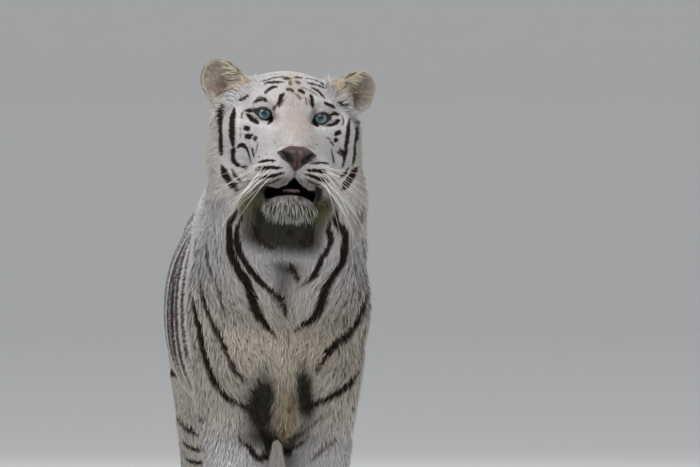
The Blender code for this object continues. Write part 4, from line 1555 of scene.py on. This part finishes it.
def hair_colours(root, tip, lie, length, draw):
    """Colours at a tuft's root, middle and tip, each where it lies on the skin."""
    count = len(root)
    gap, dark = marks.outside(root)
    ground = ground_colour((root + tip) / 2)
    mottle = soft_noise(root, 0.016, 61) + 0.8 * soft_noise(root, 0.006, 62)
    ground = ground * (1 + 0.055 * mottle)[:, None]
    made = np.stack([striped(ground, root, gap, dark)] + [ground] * 2, axis=1)
    near = np.flatnonzero(gap < 1.2 * length + 0.006)
    jitter = (draw.normal(0, 0.08, count) * length)[near, None]
    for k, share in ((1, 0.62), (2, 0.86)):
        spot = mix(root[near], tip[near], share) + lie[near] * jitter
        gap, dark = marks.outside(spot)
        made[near, k] = striped(ground[near], spot, gap, dark)
    return made


def leaf_mesh(name, corners, places):
    """One mesh of leaves, each of five corners, and of their patches on the unwrap."""
    count = len(corners)
    first = np.arange(count)[:, None]
    mesh = bpy.data.meshes.new(name)
    mesh.vertices.add(count * 5)
    mesh.vertices.foreach_set("co", corners.astype(np.float32).ravel())
    mesh.loops.add(count * 7)
    mesh.loops.foreach_set("vertex_index", (first * 5 + np.array(LEAF)).astype(np.int32).ravel())
    mesh.polygons.add(count * 2)
    mesh.polygons.foreach_set("loop_start", (first * 7 + np.array((0, 4))).astype(np.int32).ravel())
    mesh.update(calc_edges=True)
    mesh.polygons.foreach_set("use_smooth", np.ones(count * 2, bool))
    patch = places[:, None, :] + (np.array(LEAF_PATCH) * PATCH)[None]
    layer = mesh.uv_layers.new(name="OFBake")
    layer.data.foreach_set("uv", patch[:, LEAF].astype(np.float32).ravel())
    obj = bpy.data.objects.new(name, mesh)
    bpy.context.scene.collection.objects.link(obj)
    return obj


def coat_piece(name, points, normals, places, draw):
    """Tufts on the points, their roots' places on the unwrap given too."""
    count = len(points)
    lie, length, lift = comb(points, normals), tuft_length(points), tuft_lift(points)
    shaggy = np.maximum(np.maximum(breast(points), beard(points)), 0.75 * fluffy(points))
    length = length * draw.uniform(0.75, 1.20, count)
    lift = lift * draw.uniform(0.55, 1.05, count) * (1 + shaggy * 0.35 * soft_noise(points, 0.020, 51))
    width = tuft_width(points, length) * draw.uniform(0.8, 1.25, count)
    across = unit(np.cross(normals, lie))
    locks = shaggy * 0.30 * soft_noise(points, 0.026, 52)  # neighbours lean the same way, so locks form
    swing = (draw.normal(0, 1, count) * mix(0.17, 0.28, shaggy) + locks)[:, None]
    lie = unit(lie + across * swing)
    across = unit(np.cross(normals, lie))
    tip = on_the_skin(points + lie * length[:, None])
    colours = hair_colours(points, tip, lie, length, draw)

    # the leaf's corners; half of the beard's tufts hang free
    hanging = (beard(points) * (draw.random(count) < 0.5))[:, None]
    tip = tip + normals * lift[:, None]
    middle = (points + tip) / 2 + normals * (lift * 0.22)[:, None]
    loose = points + unit(normals + (0, 0, -1.4)) * length[:, None]
    tip = mix(tip, loose, hanging)
    middle = mix(middle, (points + loose) / 2 + normals * 0.003, hanging)
    roll = across + normals * draw.normal(0, 0.22, count)[:, None]
    half = roll * (width / 2)[:, None]
    root = points - normals * ROOT_SUNK
    corners = np.stack([root - half, root + half, middle + half * 0.85, middle - half * 0.85, tip], axis=1)
    corners[:, :, 2] = np.maximum(corners[:, :, 2], LOWEST_HAIR)
    obj = leaf_mesh(name, corners, places)

    # painted shade: darker at the root, more so where the coat is shaggy; each tuft also a little its own
    shade = mix(np.array(SHORT_SHADE)[None], np.array(SHAGGY_SHADE)[None], shaggy[:, None])[:, :, None]
    own = (1 + draw.normal(0, 1, (count, 1)) * mix(0.10, 0.11, shaggy)[:, None])[:, :, None] * shade
    colours = mix(colours, np.array(BEARD_COLOURS), hanging[:, :, None])
    seen = colours[:, (0, 0, 1, 1, 2)] * own
    attribute(obj, "hair", np.clip(seen, 0.004, 0.95).reshape(-1, 3), "FLOAT_COLOR")
    tilt = across * draw.normal(0, 0.30, count)[:, None]
    lean = normals + tilt + lie * draw.normal(0.10, 0.15, count)[:, None]
    obj.data.normals_split_custom_set_from_vertices(np.repeat(unit(lean), 5, axis=0))
    return obj


def tuft_density(points):
    """Tufts for each square metre: enough for every place to lie under several."""
    z, on_head = points[:, 2], head_side(points)
    cover = layered(np.full(len(points), 2.64), (
        (5.0, 1, (on_head, -0.15, 0.0)),
        (4.2, 1, (points[:, 1], -0.45, -0.60), (on_head, 0.0, -0.15)),
        (2.1, 1, (z, 0.46, 0.38)),
        (1.5, 1, (z, 0.15, 0.10)),
    ))
    length = tuft_length(points)
    return cover / (length * tuft_width(points, length) * 0.62)


REGIONS = ("face", "head", "ears", "neck", "chest", "trunk", "rump", "legs", "tail")


def region_of(points):
    """Each point's place in REGIONS; a later rule overrules the earlier ones."""
    y, z = points[:, 1], points[:, 2]
    out, ahead, _ = to_head(points).T
    side = head_side(points)
    found = np.full(len(points), REGIONS.index("trunk"))
    for name, chosen in (
        ("rump", y > 0.20), ("chest", y < -0.36), ("legs", z < 0.42), ("tail", y > 0.64),
        ("neck", (side > -0.14) & (z > 0.6)), ("head", side > 0),
        ("face", (side > 0) & (ahead > -0.035) & (np.abs(out) < 0.125)),
        ("ears", (on_ear(points) > 0.01) & (side > 0)),
    ):
        found[chosen] = REGIONS.index(name)
    return found


def grow_coat():
    roots = Roots(skin)
    draw = np.random.default_rng(5)
    points, normals, places = roots.draw(tuft_density(roots.middle), draw)
    bare = np.maximum(np.maximum(mouth_share(points), eye_share(points)), nose_share(points))
    bare = np.maximum(bare, ramp(points[:, 2], 0.004, 0.002) * (normals[:, 2] < -0.5))
    keep = bare < 0.35
    points, normals, places = points[keep], normals[keep], places[keep]
    made, region = [], region_of(points)
    for k, name in enumerate(REGIONS):
        chosen = np.flatnonzero(region == k)
        parts = max(1, math.ceil(len(chosen) / MOST_TUFTS))
        order = np.argsort(points[chosen, 0], kind="stable")
        for n, some in enumerate(np.array_split(chosen[order], parts)):
            label = "coat_" + name + (f"_{n + 1}" if parts > 1 else "")
            made.append(coat_piece(label, points[some], normals[some], places[some], draw))
    return made


coat = grow_coat()


# ---------------------------------------------------------------- whiskers
def tapered(path, thick, sides=5):
    """(vertices, faces) of a hair along the path, ending in a point."""
    path = np.asarray(path, float)
    run = unit(np.gradient(path, axis=0))
    first = unit(np.cross(run, (0.3, 0.2, 0.93)))
    second = np.cross(run, first)
    vertices = []
    for i in range(len(path) - 1):
        size = thick * (1 - i / (len(path) - 1)) ** 0.7
        for k in range(sides):
            a = 2 * math.pi * k / sides
            vertices.append(path[i] + size * (first[i] * math.cos(a) + second[i] * math.sin(a)))
    faces = grid_faces(len(path) - 1, sides)
    last, tip = (len(path) - 2) * sides, len(vertices)
    faces += [[last + k, last + (k + 1) % sides, tip] for k in range(sides)]
    return np.array(vertices + [path[-1]]), faces + [list(range(sides))[::-1]]


PAD_ROWS = (-0.092, -0.101, -0.111, -0.121)
FURTHEST_OUT = 0.197  # no whisker leaves the model's own breadth


def on_face(out, up, reach):
    """The place on the skin straight behind a point in front of the face, in the head's axes."""
    hit = SKIN_TREE.ray_cast(Vector(from_head(np.array((out, 0.20, up)))), Vector(-AHEAD), reach)[0]
    return None if hit is None else to_head(np.array(hit)[None])[0]


def whisker(start, way, long, bend, steps):
    """A hair's path in the head's axes."""
    t = np.linspace(0, 1, steps)[:, None]
    return start + way * long * t + np.array(bend) * t**2


def whisker_piece():
    draw = np.random.default_rng(17)
    hairs = []
    for side in (-1, 1):
        for row, height in enumerate(PAD_ROWS):
            for k in range(2, 7):
                start = on_face(side * (0.030 + 0.0062 * k), height - 0.0012 * k, 0.3)
                if start is None:
                    continue
                long = draw.uniform(0.090, 0.165) * (0.75 + 0.25 * k / 6)
                fall = (draw.uniform(0.05, 1.15) if side < 0 else draw.uniform(0.0, 0.95)) + 0.12 * row
                way = unit(np.array((side * draw.uniform(0.6, 1.0), 0.30 - 0.08 * k, -fall)))
                drop = draw.uniform(-0.15, 0.45) * long
                path = whisker(start + (0, -0.001, 0), way, long, (0, -0.28 * long, -drop), 12)
                path[:, 0] = np.clip(path[:, 0], -FURTHEST_OUT, FURTHEST_OUT)
                hairs.append(tapered(from_head(path), draw.uniform(0.00036, 0.00052)))
        for k in range(6):  # over the eye
            start = on_face(side * (0.050 + 0.006 * k), 0.030, 0.4)
            if start is None:
                continue
            long = draw.uniform(0.045, 0.075)
            way = unit(np.array((side * (0.25 + 0.12 * k), 0.5, 0.8)))
            path = whisker(start, way, long, (side * 0.3 * long, 0, -0.25 * long), 9)
            hairs.append(tapered(from_head(path), 0.00022))
    return joined("whiskers", hairs)


whiskers = whisker_piece()


# ---------------------------------------------------------------- claws
CLAW_HEIGHT = 0.026
CLAW_ARC = ((0.010, 0.004), (0.003, 0.004), (-0.0035, 0.001), (-0.0080, -0.006), (-0.0095, -0.014))


def claw_piece():
    """The tips of the drawn-in claws, one at the front of each toe."""
    claws = []
    for name in PAWS:
        low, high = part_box(name)
        for toe in TOES:
            x = (low[0] + high[0]) / 2 + toe * (high[0] - low[0]) / 2
            hit = SKIN_TREE.ray_cast(Vector((x, low[1] - 0.05, CLAW_HEIGHT)), Vector((0, 1, 0)), 0.15)[0]
            if hit is None:
                continue
            arc = [(x, hit.y + ahead, CLAW_HEIGHT + lift) for ahead, lift in CLAW_ARC]
            path = curve_through(arc, 0.0015)[0]
            claws.append(tapered(path, 0.0036, 10))
    return joined("claws", claws)


claws = claw_piece()


# ---------------------------------------------------------------- materials
class Look:
    """A material built node by node."""

    def __init__(self, name):
        self.material = bpy.data.materials.new(name)
        self.material.use_nodes = True
        self.tree = self.material.node_tree
        self.shader = self.tree.nodes["Principled BSDF"]

    def node(self, kind, inputs=None, **settings):
        made = self.tree.nodes.new(kind)
        for key, value in settings.items():
            setattr(made, key, value)
        for key, value in (inputs or {}).items():
            if isinstance(value, bpy.types.NodeSocket):
                self.tree.links.new(value, made.inputs[key])
            else:
                made.inputs[key].default_value = value
        return made

    def read(self, name, colour=False):
        return self.node("ShaderNodeAttribute", attribute_name=name).outputs["Color" if colour else "Fac"]

    def noise(self, scale, detail=3.0, vector=None):
        if vector is None:
            vector = self.node("ShaderNodeTexCoord").outputs["Object"]
        inputs = {"Scale": scale, "Detail": detail, "Vector": vector}
        return self.node("ShaderNodeTexNoise", inputs).outputs["Fac"]

    def cells(self, scale, **settings):
        inputs = {"Scale": scale, "Vector": self.node("ShaderNodeTexCoord").outputs["Object"]}
        return self.node("ShaderNodeTexVoronoi", inputs, **settings).outputs["Distance"]

    def fit(self, value, low, high, to_low=0.0, to_high=1.0):
        inputs = {"Value": value, "From Min": low, "From Max": high, "To Min": to_low, "To Max": to_high}
        return self.node("ShaderNodeMapRange", inputs).outputs["Result"]

    def math(self, kind, a, b=0.0):
        return self.node("ShaderNodeMath", {0: a, 1: b}, operation=kind).outputs[0]

    def mixed(self, factor, a, b, blend="MIX"):
        made = self.node("ShaderNodeMix", data_type="RGBA", blend_type=blend)
        for key, value in ((0, factor), (6, a), (7, b)):
            if isinstance(value, bpy.types.NodeSocket):
                self.tree.links.new(value, made.inputs[key])
            else:
                made.inputs[key].default_value = value if key == 0 else (*value, 1)
        return made.outputs[2]

    def scaled(self, colour, by):
        made = self.node("ShaderNodeVectorMath", {0: colour, "Scale": by}, operation="SCALE")
        self.link(made.outputs[0], "Base Color")

    def steps(self, value, stops):
        made = self.node("ShaderNodeValToRGB", {"Fac": value})
        ramp_ = made.color_ramp
        while len(ramp_.elements) < len(stops):
            ramp_.elements.new(0.5)
        for element, (at, colour) in zip(ramp_.elements, stops):
            element.position, element.color = at, (*colour, 1)
        return made.outputs["Color"]

    def bump(self, height, strength, distance):
        made = self.node("ShaderNodeBump", {"Height": height, "Strength": strength, "Distance": distance})
        self.link(made.outputs["Normal"], "Normal")

    def link(self, value, socket):
        self.tree.links.new(value, self.shader.inputs[socket])

    def set(self, **values):
        for key, value in values.items():
            self.shader.inputs[key.replace("_", " ")].default_value = value


def skin_look():
    look = Look("furred_skin")
    ragged = look.fit(look.noise(380, 2.0), 0.3, 0.7, -1.3, 1.3)
    gap = look.math("ADD", look.read("stripe_gap"), ragged)
    share = look.math("MULTIPLY", look.fit(gap, 1.4, -1.4), look.read("stripe_dark"))
    stripe = look.mixed(look.fit(look.read("stripe_gap"), 1.0, -3.0), tuple(BROWN), tuple(DARK))
    grain = look.fit(look.noise(900, 4.0), 0.25, 0.75, 0.0, 0.30)
    ground = look.mixed(grain, look.read("ground", True), (0.30, 0.26, 0.24))
    colour = look.mixed(share, ground, stripe)
    # black skin of the lips and eye rims, and painted shade: the inside of the mouth painted near black
    black_skin_and_mouth_shade = look.read("mouth")
    colour = look.mixed(black_skin_and_mouth_shade, colour, (0.012, 0.009, 0.009))
    look.link(colour, "Base Color")
    look.link(look.fit(black_skin_and_mouth_shade, 0.0, 1.0, 0.85, 0.32), "Roughness")
    look.bump(look.noise(1400, 3.0), 0.5, 0.0012)
    look.set(Specular_IOR_Level=0.22)
    return look.material


def coat_look():
    look = Look("coat_hair")
    streak = look.fit(look.noise(1100, 2.0), 0.2, 0.8, 0.86, 1.10)
    look.scaled(look.read("hair", True), streak)
    look.set(Roughness=0.75, Specular_IOR_Level=0.08)
    return look.material


def eye_look():
    look = Look("eye")
    off, around = look.read("off_axis"), look.read("around")
    places = {
        "X": look.math("MULTIPLY", look.math("COSINE", around), 9.0),
        "Y": look.math("MULTIPLY", look.math("SINE", around), 9.0),
        "Z": look.math("MULTIPLY", off, 0.035),
    }
    vector = look.node("ShaderNodeCombineXYZ", places).outputs[0]
    fibres = look.noise(1.6, 5.0, vector)
    spread = look.math("ADD", off, look.fit(fibres, 0.3, 0.7, -1.6, 1.6))
    rings = look.steps(look.fit(spread, 0.0, 90.0), (
        (0.0, (0.003, 0.003, 0.005)), (0.085, (0.004, 0.005, 0.008)), (0.125, (0.012, 0.034, 0.050)),
        (0.200, (0.028, 0.085, 0.110)), (0.255, (0.085, 0.175, 0.200)), (0.320, (0.170, 0.260, 0.270)),
        (0.362, (0.060, 0.105, 0.115)), (0.395, (0.006, 0.007, 0.008)), (0.50, (0.010, 0.008, 0.008)),
        (1.0, (0.020, 0.015, 0.013)),
    ))
    texture = look.fit(fibres, 0.25, 0.75, 0.65, 1.25)
    shade = look.math("MULTIPLY", texture, look.fit(look.read("lid_shade"), 0.0, 1.0, 1.0, 0.22))
    look.scaled(rings, shade)
    look.set(Roughness=0.12, Coat_Weight=1.0, Coat_Roughness=0.03, IOR=1.38)
    return look.material


def nose_look():
    look = Look("nose_leather")
    cells = look.cells(620.0, feature="DISTANCE_TO_EDGE")
    mottle = look.noise(120, 4.0)
    base = look.mixed(look.fit(mottle, 0.35, 0.65), (0.022, 0.010, 0.011), (0.066, 0.030, 0.031))
    # painted shade: the nostrils darkened towards near black in their holes
    base = look.mixed(look.fit(look.read("hole"), 0.08, 0.50), base, (0.008, 0.005, 0.005))
    look.link(base, "Base Color")
    look.link(look.fit(mottle, 0.3, 0.7, 0.36, 0.52), "Roughness")
    look.bump(look.fit(cells, 0.0, 0.25), 0.35, 0.0006)
    look.set(Specular_IOR_Level=0.4, Coat_Weight=0.10, Coat_Roughness=0.3)
    return look.material


def plain_look(name, patches, dark, pale, roughness, grain=None, **values):
    """Two tones in soft patches, with an even roughness and perhaps a fine grain."""
    look = Look(name)
    share = look.noise(*patches)
    if name == "tongue":
        share = look.fit(share, 0.3, 0.7)
    look.link(look.mixed(share, dark, pale), "Base Color")
    if grain:
        height, strength, distance = grain
        look.bump(look.cells(height) if name == "tongue" else look.noise(height, 2.0), strength, distance)
    look.set(Roughness=roughness, **values)
    return look.material


def dress(piece, look, slot, *nodes):
    """The piece's material, body and the nodes that it stands in for; the slot is not used."""
    piece.data.materials.append(look)
    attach(piece, "root")
    if nodes:
        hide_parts(*nodes)


hair, ball_look = coat_look(), eye_look()
for piece in coat:
    dress(piece, hair, "fur")
dress(nose, nose_look(), "nose", "nose")
dress(
    tongue,
    plain_look("tongue", (90, 3.0), (0.16, 0.095, 0.10), (0.27, 0.17, 0.175), 0.45, (700.0, 0.5, 0.0008)),
    "tongue", "tongue",
)
dress(eyes[1], ball_look, "eye", "eye_left")
dress(eyes[-1], ball_look, "eye", "eye_right")
dress(lids, plain_look(
    "lid_rim", (300, 2.0), (0.010, 0.008, 0.008), (0.028, 0.020, 0.017), 0.45, (900, 0.3, 0.0005),
    Specular_IOR_Level=0.22,
), "mouth")
dress(whiskers, plain_look("whisker", (60, 2.0), (0.78, 0.74, 0.66), (0.88, 0.86, 0.80), 0.35), "whiskers")
dress(claws, plain_look(
    "claw_horn", (220, 3.0), (0.070, 0.050, 0.038), (0.190, 0.150, 0.120), 0.35, (700, 0.25, 0.0004)
), "claws")
dress(skin, skin_look(), "fur", *[n for n in FLESH if n not in ("nose", "eye_left", "eye_right")])


# ---------------------------------------------------------------- stage
# Name, place, size and power of each lamp, and the place they all face
LAMPS = (
    ("key", (-1.8, -4.0, 5.2), 3.2, 290),
    ("fill", (3.6, -3.4, 2.8), 3.5, 30),
    ("rim", (0.5, 4.5, 4.0), 3.0, 110),
)
LIT = (0, -0.5, 0.7)
# The floor is a wide disc whose edge rises into a wall: the radius and height of each of its rings
FLOOR_RINGS = ((6.0, 0.0), (24.0, 0.0), (28.0, 0.5), (31.0, 2.2), (33.0, 6.0), (33.5, 14.0))
FLOOR_SIDES = 96


def stage_and_camera():
    data = bpy.data.cameras.new("camera")
    data.sensor_width, data.lens = 36, 211
    data.clip_end = 200
    camera = bpy.data.objects.new("camera", data)
    camera.location = VIEWPOINT
    camera.rotation_euler = (math.radians(90), 0, -VIEW_AWAY)
    bpy.context.scene.collection.objects.link(camera)
    bpy.context.scene.camera = camera

    world = bpy.data.worlds.new("studio")
    world.use_nodes = True
    world.node_tree.nodes["Background"].inputs[0].default_value = (0.80, 0.82, 0.85, 1)
    world.node_tree.nodes["Background"].inputs[1].default_value = 0.66
    bpy.context.scene.world = world
    bpy.context.scene.view_settings.view_transform = "Standard"

    for name, where, size, power in LAMPS:
        light = bpy.data.lights.new(name, "AREA")
        light.size, light.energy = size, power
        lamp = bpy.data.objects.new(name, light)
        lamp.location = where
        lamp.rotation_euler = (Vector(LIT) - Vector(where)).to_track_quat("-Z", "Y").to_euler()
        bpy.context.scene.collection.objects.link(lamp)

    turns = [2 * math.pi * i / FLOOR_SIDES for i in range(FLOOR_SIDES)]
    vertices = [(r * math.cos(a), r * math.sin(a), z) for r, z in FLOOR_RINGS for a in turns] + [(0, 0, 0)]
    faces = [[len(vertices) - 1, i, (i + 1) % FLOOR_SIDES] for i in range(FLOOR_SIDES)]
    walls = grid_faces(len(FLOOR_RINGS), FLOOR_SIDES)
    floor = new_object("floor", vertices, faces + [[a, d, c, b] for a, b, c, d in walls])
    material = bpy.data.materials.new("floor")
    material.use_nodes = True
    shader = material.node_tree.nodes["Principled BSDF"]
    shader.inputs["Base Color"].default_value = (0.74, 0.74, 0.73, 1)
    shader.inputs["Roughness"].default_value = 0.9
    floor.data.materials.append(material)


stage_and_camera()
